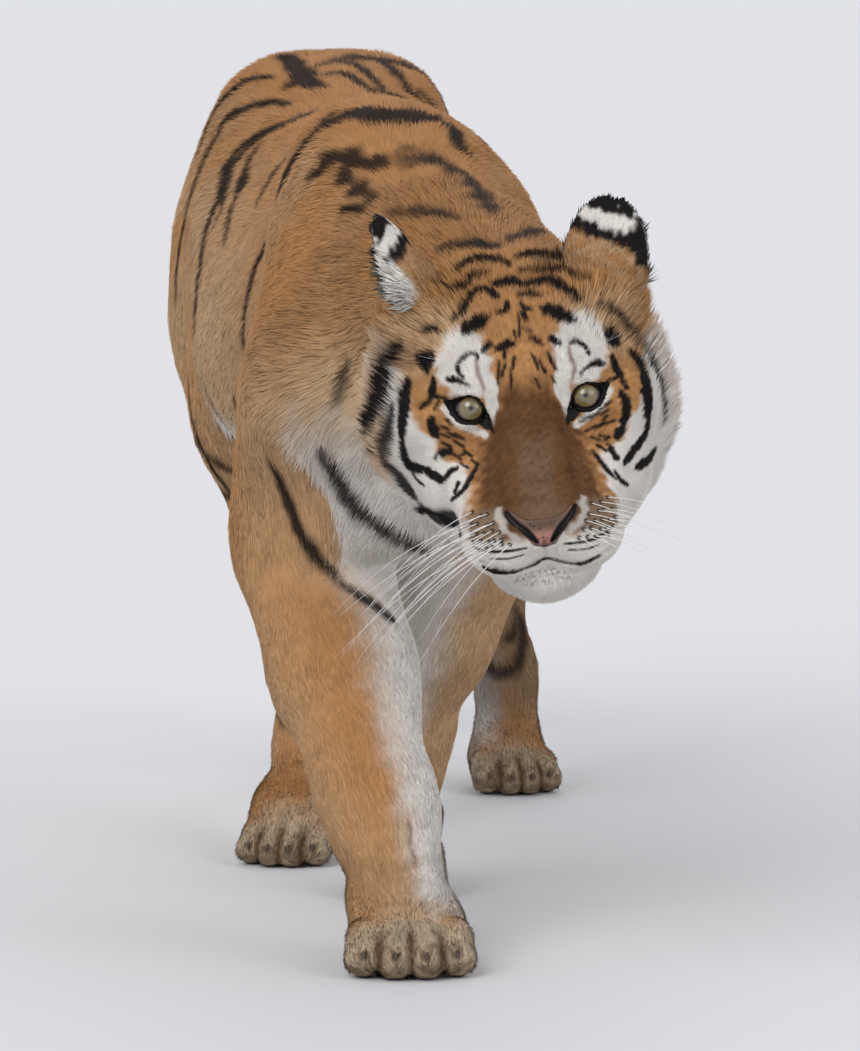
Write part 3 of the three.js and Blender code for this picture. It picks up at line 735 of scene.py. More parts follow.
class Ear:
    """An ear's frame in mm: across the cup, up to its tip, and out of its opening."""

    def __init__(self, side):
        root, lean, opening = EAR_PLACES[side]
        self.root = np.array(root, float)
        self.up = unit(lean)
        facing = np.array([math.sin(math.radians(opening)), -math.cos(math.radians(opening)), 0])
        self.facing = unit(facing - self.up * (facing @ self.up))
        self.side = np.cross(self.up, self.facing)

    def sheet(self, v, t, inner):
        """Points of the cup's outer or inner face; v goes up from 0 to 1, t across from -1 to 1."""
        rounded = np.sqrt(np.clip(1 - ((v - 0.3) / 0.71) ** 2, 0.003, 1))
        taper = np.where(v < 0.3, 0.79 + 0.7 * v, rounded)
        wall = inner * (2.5 + 5.5 * (1 - np.clip(v, 0, 1))) * (1 - 0.6 * np.abs(t) ** 3)
        turn = t * EAR_WRAP * (1 + 0.25 * np.clip(0.4 - v, 0, 1))
        across = (EAR_HALF * taper - 0.6 * wall) * np.sin(turn) / math.sin(EAR_WRAP)
        bulge = EAR_DEPTH * (1 - 0.55 * v) - wall
        flare = 5 * np.clip(np.abs(t) - 0.6, 0, 1) ** 2 * v
        out = -bulge * np.cos(turn) - 6 * flare + 9 * v**2
        rise = v * EAR_HEIGHT - inner * 2.5 * smooth(0.85, 1, v)
        place = self.root + self.up * rise[:, None] + self.side * across[:, None]
        return place + self.facing * out[:, None]

    def shell(self, name, rows=44, columns=36):
        """The closed cup, its rows closer together towards the tip."""
        tip = 1 - 0.2 * (1 - np.linspace(0, 1, 15)[1:]) ** 1.8
        v = np.concatenate([np.linspace(-0.4, 0.8, rows - len(tip)), tip])
        v, t = np.meshgrid(v, np.linspace(-1, 1, columns), indexing="ij")
        sheets = [from_head(self.sheet(v.ravel(), t.ravel(), inner)) for inner in (1.0, 0.0)]
        return cushion(name, *sheets, rows, columns)

    def to(self, head_points):
        """Across, up (0 to 1) and out of the opening."""
        p = head_points - self.root
        return p @ self.side, p @ self.up / EAR_HEIGHT, p @ self.facing


EAR_FRAMES = {side: Ear(side) for side in SIDES}


def join_ears(skin):
    """Joins the ears to the skin as one surface and returns which ear each point is on: 0 none, 1, 2."""
    before = skin_tree()
    body = bpy.data.objects.new("joining", skin.mesh)
    bpy.context.scene.collection.objects.link(body)
    shells = [ear.shell(f"shell_{side}") for side, ear in EAR_FRAMES.items()]
    for shell in shells:
        flip_if_inside_out(shell)
        joint = body.modifiers.new("ear", "BOOLEAN")
        joint.operation = "UNION"
        joint.solver = "MANIFOLD"
        joint.object = shell
    graph = bpy.context.evaluated_depsgraph_get()
    mesh = bpy.data.meshes.new_from_object(body.evaluated_get(graph))
    for piece in [body, *shells]:
        bpy.data.objects.remove(piece)
    skin.take(mesh)
    on_ear = np.zeros(len(skin.points), int)
    local = to_head(skin.points)
    high = np.where((local[:, 2] > 30) & (local[:, 1] > 40) & (np.abs(local[:, 0]) > 30))[0]
    for i in high:
        if before.find_nearest(Vector(skin.points[i]))[3] > 0.3 * MM:
            on_ear[i] = 1 if local[i, 0] > 0 else 2
    return on_ear


def flip_if_inside_out(obj):
    """Turns a closed object's faces outwards."""
    bm = bmesh.new()
    bm.from_mesh(obj.data)
    if bm.calc_volume(signed=True) < 0:
        bmesh.ops.reverse_faces(bm, faces=bm.faces)
    bm.to_mesh(obj.data)
    bm.free()


sink_under_lids(skin)
tree = skin_tree()
for s in (1, -1):
    press(skin, [(s * a, b) for a, b in MOUTH], 6, 3.2, tree)
    for places, groove, width in FOLDS:
        press(skin, [(s * a, b) for a, b in places], groove, width, tree)
press(skin, PHILTRUM, 4, 2.6, tree)
skin.write()
on_ear = join_ears(skin)
node_of = nearest_nodes(skin.points)
near_ear = skin.relax((on_ear > 0).astype(float), 6)
skin.even(6, 0.5 * smooth(0.05, 0.3, near_ear) * smooth(0.99, 0.85, near_ear))


def lids(side, tree):
    """The bare black rim round an eye, from the eyeball out to the fur."""
    eye = EYE_FRAMES[side]
    inner, outer = curve(OPENING, 4, closed=True), curve(LID_EDGE, 4, closed=True)
    rest = []
    for u, v in outer:
        start = from_head(eye.back_from([u, v, 90]))
        hit = tree.ray_cast(Vector(start), Vector(-(eye.w @ HEAD_TURN)))[0]
        rest.append(eye.to(to_head(np.array(hit)[None]))[0][2])
    rest = np.array(rest)
    rows = []
    for share, rise in LID_SECTION:
        place = inner + share * (outer - inner)
        ball = np.sqrt(np.maximum(EYE_RADIUS**2 - (place**2).sum(1), 20))
        drop = np.clip(share, 0, 1) ** 1.5
        rows.append(np.column_stack([place, (1 - drop) * (ball + rise) + drop * (rest + rise)]))
    points = from_head(eye.back_from(np.concatenate(rows)))
    return mesh_object(f"lids_{side}", points, grid_faces(len(rows), len(inner)))


def eyeball(side):
    """An eyeball with a bulging cornea, its pole at the gaze."""
    eye = EYE_FRAMES[side]
    tilts = np.concatenate([np.linspace(0.004, 0.72, 44), np.linspace(0.76, math.pi - 0.02, 26)])
    columns = 96
    turns = np.linspace(0, 2 * math.pi, columns, endpoint=False)
    bulge = 1.3 * np.clip(1 - (tilts / 0.72) ** 2, 0, 1) ** 1.5
    radius = (EYE_RADIUS - 0.4 + bulge)[:, None]
    gaze = unit(GAZE)
    up = unit(np.array([0, 0, 1]) - gaze * gaze[2])
    right = np.cross(up, gaze)
    place = (
        (radius * np.sin(tilts)[:, None] * np.cos(turns))[..., None] * right
        + (radius * np.sin(tilts)[:, None] * np.sin(turns))[..., None] * up
        + (radius * np.cos(tilts)[:, None] * np.ones(columns))[..., None] * gaze
    ).reshape(-1, 3)
    ends = np.array([gaze * radius[0], -gaze * radius[-1]])
    faces = grid_faces(len(tilts), columns)
    ring = np.arange(columns)
    last = (len(tilts) - 1) * columns
    count = len(place)
    caps = np.concatenate([
        np.stack([np.full(columns, count), np.roll(ring, -1), ring], 1),
        np.stack([np.full(columns, count + 1), last + ring, last + np.roll(ring, -1)], 1),
    ])
    points = np.concatenate([place, ends]) + eye.centre
    ball = mesh_object(f"eyeball_{side}", from_head(points), [faces, caps])
    tilt = np.concatenate([np.repeat(tilts, columns), [0, math.pi]])
    turn = np.concatenate([np.tile(turns, len(tilts)), [0, 0]])
    paint(ball, eye_colours(tilt, turn))
    return ball


def eye_colours(tilt, turn):
    """The iris with its streaks, and the pupil, by the angles from the gaze and round it."""
    rng = np.random.default_rng(5)
    streaks = sum(np.sin(turn * k + rng.uniform(0, 6.3)) * rng.uniform(0.3, 1) for k in range(11, 60, 6)) / 5
    t = tilt / IRIS
    olive, amber = np.array([0.155, 0.13, 0.062]), np.array([0.20, 0.13, 0.045])
    sclera, pupil = np.array([0.012, 0.01, 0.01]), np.array([0.004, 0.005, 0.008])
    colour = mix(olive, amber, smooth(0.55, 0.95, t))
    colour = colour * (1 + 0.16 * streaks * smooth(0.25, 0.5, t))[:, None]
    colour = colour * (1 - 0.85 * smooth(0.88, 1.0, t))[:, None]
    colour = mix(colour, sclera, smooth(1.0, 1.05, t))
    return mix(colour, pupil, 1 - smooth(0.85, 1.1, tilt / PUPIL))


# ---- Nose ----
# On the face's sheet: the pad's outline and the middle of its slit, on the left side.
PAD = [
    (0, -127), (15, -126), (24, -122), (32, -114), (39, -112), (41, -119),
    (35, -129), (26, -138), (18, -147), (12, -155), (0, -158),
]
PAD_RIM = np.array(PAD + [(-x, y) for x, y in PAD[-2:0:-1]], float)
SLIT = [(37, -115), (34, -122), (27, -131), (19, -138), (13, -145), (8, -151)]


def near_pad(local):
    """Which of the head's places lie about the nose pad, and how far inside its rim those are."""
    a, b = local[:, 0], local @ SHEET_V
    near = (np.abs(a) < 44) & (b > -162) & (b < -108) & (local[:, 1] < -110)
    return near, within(np.stack([a[near], b[near]], 1), PAD_RIM)


def nose_pad(tree, columns=89, rows=57):
    """The pad with its slits: its rim dives under the skin."""
    a, b = np.meshgrid(np.linspace(-46, 46, columns), np.linspace(-164, -106, rows), indexing="xy")
    flat = np.stack([np.abs(a.ravel()), b.ravel()], 1)
    a, b = a.ravel(), b.ravel()
    slit, where = gap_to(flat, curve(SLIT, 5))
    wide = 1.3 + 3.0 * np.sin(math.pi * np.clip(0.15 + 0.8 * where, 0, 1))
    hole = 1 - smooth(0.3, 1.0, slit / wide)
    inside = within(np.stack([a, b], 1), PAD_RIM)
    cleft = np.exp(-((a / 1.6) ** 2)) * smooth(-138, -150, b)
    lift = -7 + 9.5 * smooth(-3.0, 2.5, inside) - 7 * hole - 1.5 * cleft
    rest = on_face(zip(a, b), tree)
    front = rest + SHEET_W * lift[:, None]
    pad = cushion("nose_pad", from_head(front), from_head(rest - SHEET_W * 16), rows, columns)
    black, pink = np.array([0.02, 0.015, 0.014]), np.array([0.37, 0.175, 0.135])
    brown = np.array([0.10, 0.06, 0.04])
    rng = np.random.default_rng(3)
    edge = smooth(0.8, 2.0, slit / wide) * smooth(-0.5, 2.5, inside) * smooth(-158, -150, b)
    colour = mix(black, pink, edge)
    colour = mix(colour, brown, smooth(-145, -133, b + 0.1 * np.abs(a)) * edge)
    for ca, cb, r in rng.uniform((-24, -150, 0.8), (24, -128, 1.9), (16, 3)):
        spot = 1 - smooth(0.6, 1.2, np.hypot(a - ca, b - cb) / r)
        colour = colour * (1 - 0.6 * spot)[:, None]
    paint(pad, np.concatenate([colour, np.repeat(black[None], len(colour), 0)]))
    return pad


def sink_under_nose(skin):
    """Presses the skin in under the nose pad."""
    p = to_head(skin.points)
    near, inside = near_pad(p)
    p[near] -= SHEET_W * (11 * smooth(0.6, 5.0, inside))[:, None]
    skin.points = from_head(p)


def plain(name, colour, roughness, coat=0.0, specular=0.5, painted=False):
    """A material of one colour, or of the piece's painted colours."""
    material = bpy.data.materials.new(name)
    material.use_nodes = True
    shader = material.node_tree.nodes["Principled BSDF"]
    shader.inputs["Base Color"].default_value = (*colour, 1)
    shader.inputs["Roughness"].default_value = roughness
    shader.inputs["Coat Weight"].default_value = coat
    shader.inputs["Coat Roughness"].default_value = 0.03
    shader.inputs["Specular IOR Level"].default_value = specular
    if painted:
        node = material.node_tree.nodes.new("ShaderNodeAttribute")
        node.attribute_name = "colour"
        material.node_tree.links.new(node.outputs["Color"], shader.inputs["Base Color"])
    return material


def add_bump(material, scale, strength, height):
    """Fine even bumps over a material."""
    nodes, links = material.node_tree.nodes, material.node_tree.links
    place = nodes.new("ShaderNodeTexCoord")
    noise = nodes.new("ShaderNodeTexNoise")
    noise.inputs["Scale"].default_value = scale
    noise.inputs["Detail"].default_value = 2
    bump = nodes.new("ShaderNodeBump")
    bump.inputs["Strength"].default_value = strength
    bump.inputs["Distance"].default_value = height
    links.new(place.outputs["Object"], noise.inputs["Vector"])
    links.new(noise.outputs["Fac"], bump.inputs["Height"])
    links.new(bump.outputs["Normal"], nodes["Principled BSDF"].inputs["Normal"])


eye_material = plain("eye", (0.3, 0.3, 0.2), 0.2, coat=1.0, painted=True)
lid_material = plain("lid", (0.008, 0.006, 0.006), 0.6, specular=0.15)
nose_material = plain("nose", (0.4, 0.2, 0.2), 0.5, coat=0.06, specular=0.25, painted=True)
add_bump(nose_material, 620, 0.35, 0.5 * MM)


def finish_piece(piece, slot, material, *nodes):
    """Gives a piece its body and its one material, and hides the CAD nodes that it stands for; the slot is
    not used.
    """
    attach(piece, "root")
    if nodes:
        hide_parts(*nodes)
    piece.data.materials.clear()
    piece.data.materials.append(material)


tree = skin_tree()
for side in SIDES:
    finish_piece(lids(side, tree), "nose", lid_material)
    finish_piece(eyeball(side), "eye", eye_material, f"eye_{side}")
finish_piece(nose_pad(tree), "nose", nose_material, "nose")
sink_under_nose(skin)

# ---- Colours and markings ----
ORANGE = np.array([0.43, 0.215, 0.085])
DEEP = np.array([0.27, 0.125, 0.045])
PALE = np.array([0.52, 0.37, 0.225])
WHITE = np.array([0.68, 0.64, 0.585])
BROWN = np.array([0.135, 0.062, 0.026])
BLACK = np.array([0.012, 0.010, 0.010])
GREY = np.array([0.12, 0.11, 0.10])  # of the chin's specks
TAUPE = np.array([0.150, 0.092, 0.053])  # of the nose's bridge
MUZZLE = np.array([0.235, 0.165, 0.11])  # under the whiskers
NOSE_TOP = np.array([0.165, 0.1, 0.06])
PAW_PALE = np.array([0.47, 0.375, 0.265])
FAR_LEG_SHADE = np.array([0.15, 0.105, 0.07])  # painted shade on the far hind leg


def ripple(points, size, seed, waves=9):
    """Smooth noise of about -1 to 1 with features of the given size."""
    rng = np.random.default_rng(seed)
    turns = unit(rng.normal(size=(waves, 3))) * (2 * math.pi / size) * rng.uniform(0.6, 1.5, (waves, 1))
    return np.sin(points @ turns.T + rng.uniform(0, 6.3, waves)).sum(1) / math.sqrt(waves)


def blob(a, b, centre, radii, tilt=0.0):
    """1 inside an oval on the face's sheet and 0 outside, with a soft edge."""
    c, s = math.cos(math.radians(tilt)), math.sin(math.radians(tilt))
    x, y = a - centre[0], b - centre[1]
    r = np.hypot((c * x + s * y) / radii[0], (c * y - s * x) / radii[1])
    return 1 - smooth(0.85, 1.12, r)


# Strokes on the face: half-width in mm and the places that each goes through. They differ from side to
# side, and were read off the photo with the sheet's lines drawn over it.
FACE_BLACK = [
    (6.5, [(-70, 180), (-50, 179), (-28, 181), (-8, 183)]),
    (5.5, [(2, 185), (30, 184), (58, 181)]),
    (3.8, [(-64, 149), (-55, 158), (-40, 164), (-22, 162), (-10, 160), (-1, 152)]),
    (3.8, [(4, 160), (20, 163), (36, 161), (50, 156), (62, 147)]),
    (4.3, [(-88, 144), (-79, 136), (-68, 131), (-57, 134), (-49, 141), (-41, 147), (-24, 147)]),
    (3.8, [(5, 143), (20, 146), (40, 143), (55, 139), (68, 131), (82, 126)]),
    (4.6, [(-72, 98), (-62, 107), (-52, 118), (-42, 127), (-32, 128)]),
    (4.0, [(-27, 126), (-20, 118)]),
    (5.2, [(4, 127), (20, 129), (38, 128), (50, 122), (61, 114), (71, 106)]),
    (3.2, [(2, 117), (14, 117), (27, 114)]),
    (6.0, [(-22, 134), (-10, 133), (3, 132)]),
    (3.2, [(-22, 101), (-12, 103), (-9, 112)]),
    (3.0, [(3, 110), (8, 103), (16, 99)]),
    (3.0, [(5, 98), (8, 90)]),
    (7.2, [(-60, 84), (-52, 89), (-42, 94), (-34, 98)]),
    (7.0, [(27, 100), (38, 96), (49, 90), (59, 85)]),
    (1.4, [(0, 98), (0, 84), (-1, 70)]),
    (3.6, [(-40, 62), (-34, 67)]),
    (4.4, [(-22, 62), (-13, 65)]),
    (3.0, [(10, 70), (17, 66), (22, 60)]),
    (3.8, [(34, 65), (38, 61)]),
    (1.3, [(-6, 79), (-5, 69)]),
    (1.3, [(4, 80), (12, 76)]),
    (1.8, [(-26, 48), (-28, 36), (-30, 22)]),
    (1.8, [(-20, 43), (-25, 32)]),
    (1.6, [(-15, 38), (-15, 28), (-17, 16)]),
    (1.8, [(-9, 50), (-13, 38)]),
    (1.8, [(-19, 56), (-20, 50)]),
    (1.7, [(9, 52), (13, 43), (15, 32)]),
    (1.9, [(17, 43), (22, 30)]),
    (1.2, [(11, 24), (14, 14)]),
    (1.9, [(27, 51), (31, 38), (35, 30)]),
    (1.4, [(28, 25), (31, 18)]),
    (2.4, [(-47, 52), (-50, 58), (-58, 59), (-66, 54), (-71, 46), (-69, 38), (-65, 33)]),
    (3.6, [(-84, 35), (-76, 33), (-69, 31)]),
    (1.8, [(-72, 30), (-66, 28), (-60, 24)]),
    (2.6, [(52, 58), (58, 61), (64, 57), (69, 51), (71, 43)]),
    (1.6, [(60, 25), (68, 31)]),
    (3.8, [(70, 31), (78, 34), (87, 33)]),
    (9.0, [(-101, 67), (-106, 58), (-104, 50)]),
    (3.6, [(-110, 92), (-98, 93), (-88, 89)]),
    (8.5, [(94, 71), (100, 62), (106, 54)]),
    (9.5, [(-130, 80), (-143, 64), (-151, 46), (-158, 27), (-166, 8), (-174, -10)]),
    (8.5, [(-127, 38), (-131, 24), (-134, 8), (-138, -8), (-140, -24)]),
    (6.5, [(-139, -24), (-138, -42), (-132, -53), (-120, -58)]),
    (4.6, [(-120, -58), (-110, -66), (-99, -74)]),
    (2.0, [(-134, -56), (-128, -68), (-120, -77)]),
    (3.0, [(-99, -74), (-92, -66), (-82, -61)]),
    (4.2, [(-98, 38), (-100, 26), (-104, 15)]),
    (2.6, [(-104, 15), (-114, 8)]),
    (2.6, [(-86, 13), (-94, 16), (-102, 18)]),
    (5.0, [(-106, -4), (-105, -16), (-102, -26)]),
    (4.6, [(-97, -44), (-90, -42)]),
    (1.6, [(-90, -9), (-84, -16)]),
    (1.4, [(-96, -24), (-88, -29)]),
    (1.4, [(-80, -50), (-73, -48)]),
    (2.6, [(-61, -61), (-70, -74), (-80, -87), (-94, -96)]),
    (2.0, [(-84, -79), (-89, -88)]),
    (3.6, [
        (88, 100), (104, 90), (116, 76), (127, 58), (135, 44), (141, 28), (145, 10), (147, -12), (146, -34),
    ]),
    (6.4, [(119, 44), (126, 28), (130, 10), (130, -10), (128, -30)]),
    (4.2, [(128, -30), (124, -46), (114, -58), (104, -68), (95, -78)]),
    (4.0, [(96, 41), (99, 27), (104, 13)]),
    (2.4, [(104, 13), (108, 4)]),
    (2.4, [(86, 13), (93, 15), (101, 17)]),
    (4.8, [(101, 0), (106, -11), (104, -25), (98, -34)]),
    (4.4, [(92, -46), (97, -40)]),
    (1.6, [(76, -17), (90, -9)]),
    (2.4, [(63, -59), (70, -72), (78, -85), (85, -93)]),
    (3.2, [(83, -60), (88, -70)]),
    (2.8, [(84, -84), (90, -95), (98, -101)]),
    (6.0, [(-168, -28), (-172, -44), (-170, -58)]),
    (6.0, [(-160, -70), (-150, -82), (-138, -90)]),
    (5.5, [(-142, -100), (-124, -102), (-112, -108)]),
    (5.0, [(-112, -108), (-102, -116), (-92, -122)]),
    (4.5, [(-176, -118), (-160, -128), (-146, -136), (-130, -152)]),
    (5.0, [(134, -64), (122, -76), (108, -82)]),
]
# Short thin dashes on the cheeks.
FACE_BLACK += [(1.5, list(ends)) for ends in (
    ((-82, -25), (-74, -32)), ((79, -29), (84, -24)), ((78, -49), (83, -47)), ((-92, 16), (-101, 4)),
    ((-96, -15), (-88, -21)), ((-90, -23), (-80, -30)), ((-84, -32), (-74, -40)), ((-96, -33), (-88, -39)),
    ((-88, -45), (-78, -53)), ((-74, -44), (-66, -52)), ((-100, -41), (-106, -49)),
    ((-79, -58), (-71, -64)), ((-67, -55), (-61, -61)), ((53, -28), (64, -24)), ((64, -25), (75, -20)),
    ((77, -22), (86, -18)), ((59, -38), (70, -34)), ((70, -36), (81, -31)), ((83, -32), (91, -30)),
    ((64, -45), (72, -49)), ((73, -44), (83, -47)), ((69, -54), (77, -61)), ((80, -55), (86, -59)),
    ((60, -15), (73, -9)),
)]
FACE_BROWN = [
    (2.2, [(-50, 55), (-50, 42), (-48, 30), (-45, 19)]),
    (2.2, [(50, 57), (51, 44), (54, 32), (50, 20)]),
    (5.0, [(-40, -24), (-36, -44), (-28, -66), (-24, -90)]),
    (5.0, [(38, -24), (36, -44), (28, -66), (26, -90)]),
]
LIP_BLACK = [
    (2.0, [(-68, -171), (-58, -177), (-44, -180), (-32, -180)]),
    (1.2, [(-36, -180), (-14, -175), (0, -169), (14, -174), (30, -179)]),
    (1.8, [(28, -179), (40, -179), (58, -172)]),
    (1.6, [(-10, -172), (0, -169), (10, -172)]),
    (1.3, [(-20, -156), (-40, -157), (-60, -155), (-76, -149)]),
    (1.3, [(20, -156), (44, -156), (62, -151), (74, -144)]),
    (0.8, [(-24, -163), (-42, -165), (-60, -163)]),
    (0.8, [(24, -163), (42, -164), (58, -161)]),
]
CHIN_GREY = [
    (5.0, [(-38, -186), (-28, -187), (-18, -186)]),
    (5.5, [(-18, -187), (-8, -184), (4, -182)]),
    (5.0, [(6, -184), (16, -188), (26, -188)]),
    (3.5, [(-26, -195), (-8, -193), (10, -195)]),
]
WHISKER_ROWS = [  # start and end of a row of spots on the left pad, and how many
    ((56, -116), (74, -113), 3),
    ((52, -126), (76, -124), 4),
    ((48, -135), (78, -134), 5),
    ((44, -143), (76, -144), 5),
    ((38, -150), (70, -151), 5),
]


def whisker_spots():
    """The spots of both whisker pads, as places on the sheet."""
    rng = np.random.default_rng(11)
    spots = []
    for s in (1, -1):
        for start, end, count in WHISKER_ROWS:
            for t in np.linspace(0, 1, count):
                a = start[0] + t * (end[0] - start[0]) + rng.uniform(-1.6, 1.6)
                b = start[1] + t * (end[1] - start[1]) + rng.uniform(-1.6, 1.6)
                spots.append((s * a, b))
    return spots


UNDER_EYE = [(90, 4), (79, -13), (64, -22), (50, -30)]  # middles of narrow white places, on the left
BESIDE_PAD = [(45, -112), (44, -126), (37, -138), (24, -149), (8, -158)]


def coloured_reach(b):
    """How far from the middle the face's coloured part reaches at each height of its sheet."""
    heights = [-160, -152, -140, -115, -100, -75, -60, -52, -30, -18, 0, 30, 50, 75, 100, 130]
    reaches = [0, 58, 80, 83, 76, 70, 75, 95, 104, 118, 128, 130, 132, 138, 150, 190]
    return np.interp(b, heights, reaches)


def face_colours(p, base):
    """The coat's ground on the head, for points in the head's mm."""
    a, b = p[:, 0], p[:, 2] * math.cos(SHEET_LEAN) + p[:, 1] * math.sin(SHEET_LEAN)
    side = np.abs(a)
    rough = ripple(p, 16, 21) * 3
    colour = mix(base, ORANGE, smooth(140, 90, p[:, 1]))
    front = smooth(100, 62, p[:, 1])
    brow = smooth(20, 60, b) * smooth(135, 100, b) * smooth(30, 70, side)
    colour = mix(colour, PALE, 0.55 * front * brow)
    bridge = smooth(5, -14, side - np.interp(b, [-120, -60, -40, 0, 20], [76, 64, 58, 36, 34]) + rough)
    bridge *= smooth(34, 4, b + rough) * smooth(-158, -140, b)
    brown = mix(BROWN * 0.85, TAUPE, 0.8 * smooth(28, 10, side) * smooth(-20, -60, b))
    cheek = smooth(-60, -48, b) * blob(side, b, (78, -34), (26, 22))
    colour = mix(colour, DEEP, 0.6 * cheek * front)
    colour = mix(colour, brown, bridge * front)
    mottled = np.clip(ripple(p, 9, 51) + 0.6 * ripple(p, 24, 52), -1.5, 1.5)
    colour = colour * (1 + 0.13 * front * mottled)[:, None]
    pads = smooth(-104, -120, b) * smooth(40, 50, side) * smooth(-158, -148, b)
    colour = mix(colour, MUZZLE, 0.85 * pads * front)
    tip = smooth(-104, -118, b) * smooth(34, 24, side) * smooth(-132, -126, b)
    colour = mix(colour, NOSE_TOP, 0.6 * tip * front)
    white = smooth(-6, 7, side - coloured_reach(b) + rough) * smooth(150, 95, b)
    white = np.maximum(white, blob(a + rough, b, (-64, 49), (30, 41), 8))
    white = np.maximum(white, blob(a + rough, b, (64, 52), (30, 43), -8))
    white = np.maximum(white, blob(side + 0.5 * rough, b, (39, 8), (8, 28), 6))
    under_eye = gap_to(np.stack([side, b], 1), curve(UNDER_EYE, 4))[0]
    white = np.maximum(white, smooth(5.5, 3.0, under_eye))
    beside_pad = gap_to(np.stack([side, b], 1), curve(BESIDE_PAD, 4))[0]
    white = np.maximum(white, 0.62 * smooth(6.5, 1.5, beside_pad + 0.5 * rough))
    white = np.maximum(white, smooth(-138, -154, b + rough * 0.6))
    white *= np.maximum(front, 0.85 * smooth(165, 130, p[:, 1]) * smooth(96, 118, side))
    outer_ruff = smooth(144, 166, -a) * smooth(135, 105, b)
    temples = smooth(116, 134, side) * smooth(52, 74, b) * np.where(a < 0, 1, 0.6)
    cream = np.maximum(outer_ruff, temples)
    return mix(colour, mix(WHITE, PALE * 1.1, 0.75 * cream), white * (1 - 0.2 * cream))


def place_strokes(strokes, tree, ratio=1.0):
    """Half-widths and paths on the skin; a stroke is wider where the skin turns away from the sheet."""
    made = []
    for half, places in strokes:
        path, normals = dropped(curve(places, 5), tree)
        across = unit(np.cross(normals, np.gradient(path, axis=0)))
        seen = np.sqrt(np.clip(1 - (across @ SHEET_W) ** 2, 0.36, 1))
        made.append((half * ratio / seen, path))
    return made


def stroke_share(p, strokes, soft, rough):
    """How far each point lies inside the strokes, 0 to 1; all in one frame's mm."""
    share = np.zeros(len(p))
    for half, path in strokes:
        half = np.broadcast_to(half, len(path))
        reach = half.max() * 1.5 + soft + 4
        near = np.all((p > path.min(0) - reach) & (p < path.max(0) + reach), axis=1)
        near = np.where(near)[0]
        if not len(near):
            continue
        gap, where = gap_to(p[near], path)
        starts = np.concatenate([[0], np.cumsum(np.linalg.norm(np.diff(path, axis=0), axis=1))])
        wide = np.interp(where * starts[-1], starts, half)
        taper = 0.45 + 0.55 * np.sqrt(np.clip(4 * where * (1 - where), 0, 1)) if len(path) > 6 else 1.0
        inside = 1 - smooth(-soft, soft, gap - wide * taper + rough[near] * np.minimum(wide * 0.16, 1.6))
        share[near] = np.maximum(share[near], inside)
    return share


# ---- The trunk's marks ----
# Each stripe goes through places given as y in metres and the angle from the back's midline in degrees,
# negative on the right side. The angle is taken about the trunk's middle at that y. Where the photo shows
# a stripe, its places began as what a scratch program printed: points read off the photo by eye, cast
# through the camera onto the CAD. They were then rounded, and some were moved. The rest are given one by
# one.
TRUNK_STRIPES = [
    (8, [(-0.54, 17), (-0.53, 12), (-0.49, 12), (-0.48, 6), (-0.495, -3)]),
    (15, [(-0.48, 6), (-0.495, -3), (-0.49, -10), (-0.475, -15), (-0.475, -22)]),
    (9, [
        (-0.44, -18), (-0.47, -26), (-0.46, -34), (-0.43, -41), (-0.37, -48),
        (-0.31, -54), (-0.28, -62), (-0.28, -75), (-0.29, -92), (-0.30, -104),
    ]),
    (5, [(0.16, -7), (0.05, -16), (-0.01, -24), (-0.02, -31), (-0.06, -39), (-0.10, -46)]),
    (6, [(0.16, -30), (0.13, -36), (0.07, -42), (0.03, -50), (0.0, -56), (-0.04, -64)]),
    (9, [(0.09, -40), (0.05, -44)]),
    (6, [(0.15, -21), (0.18, -32), (0.16, -42), (0.11, -48), (0.07, -54), (0.06, -62)]),
    (8, [
        (0.17, -9), (0.16, -20), (0.18, -28), (0.20, -37), (0.18, -44),
        (0.12, -50), (0.10, -61), (0.06, -72), (0.05, -83), (0.04, -98),
    ]),
    (7, [
        (0.22, -17), (0.26, -24), (0.29, -35), (0.31, -43), (0.30, -53),
        (0.27, -61), (0.25, -70), (0.24, -82), (0.22, -98),
    ]),
    (7, [(0.32, -21), (0.35, -28), (0.35, -34), (0.37, -42), (0.37, -51), (0.35, -61)]),
    (11, [(0.39, -15), (0.36, -12), (0.31, -11), (0.26, -9), (0.24, -5)]),
    (10, [(0.30, -6), (0.28, -11), (0.27, -17)]),
    (6, [(0.32, -5), (0.33, 3), (0.32, 9), (0.28, 12), (0.25, 15)]),
    (6, [(0.28, -4), (0.28, 3), (0.25, 7), (0.23, 10)]),
    (7, [(0.36, 7), (0.36, 14), (0.34, 21), (0.29, 25), (0.28, 31)]),
    (9, [(0.42, 3), (0.45, -16), (0.48, -38), (0.48, -62), (0.45, -86)]),
    (8, [(0.51, 2), (0.54, -22), (0.56, -48), (0.55, -78)]),
    (7, [(0.58, 0), (0.61, -30), (0.62, -66)]),
    (8, [(-0.44, 22), (-0.36, 32), (-0.28, 44), (-0.24, 58), (-0.22, 74), (-0.24, 92), (-0.26, 108)]),
    (8, [(0.08, 4), (0.05, 12), (-0.02, 22), (-0.08, 36), (-0.11, 52), (-0.13, 70), (-0.15, 90)]),
    (8, [(0.16, 6), (0.15, 22), (0.10, 42), (0.05, 62), (0.03, 84), (0.0, 106)]),
    (6, [(0.04, 30), (-0.02, 46), (-0.06, 66), (-0.08, 86)]),
    (8, [(0.24, 8), (0.25, 28), (0.22, 50), (0.18, 72), (0.16, 94), (0.13, 114)]),
    (6, [(0.30, 30), (0.30, 50), (0.27, 70), (0.25, 92)]),
    (9, [(0.34, 2), (0.36, 18), (0.38, 40), (0.37, 62), (0.34, 86)]),
    (9, [(0.43, 3), (0.46, 22), (0.48, 44), (0.46, 70)]),
    (8, [(0.51, 2), (0.55, 26), (0.56, 52), (0.54, 80)]),
    (7, [(0.58, 0), (0.61, 34), (0.62, 70)]),
    (6, [(-0.16, 6), (-0.17, 18), (-0.20, 30)]),
]
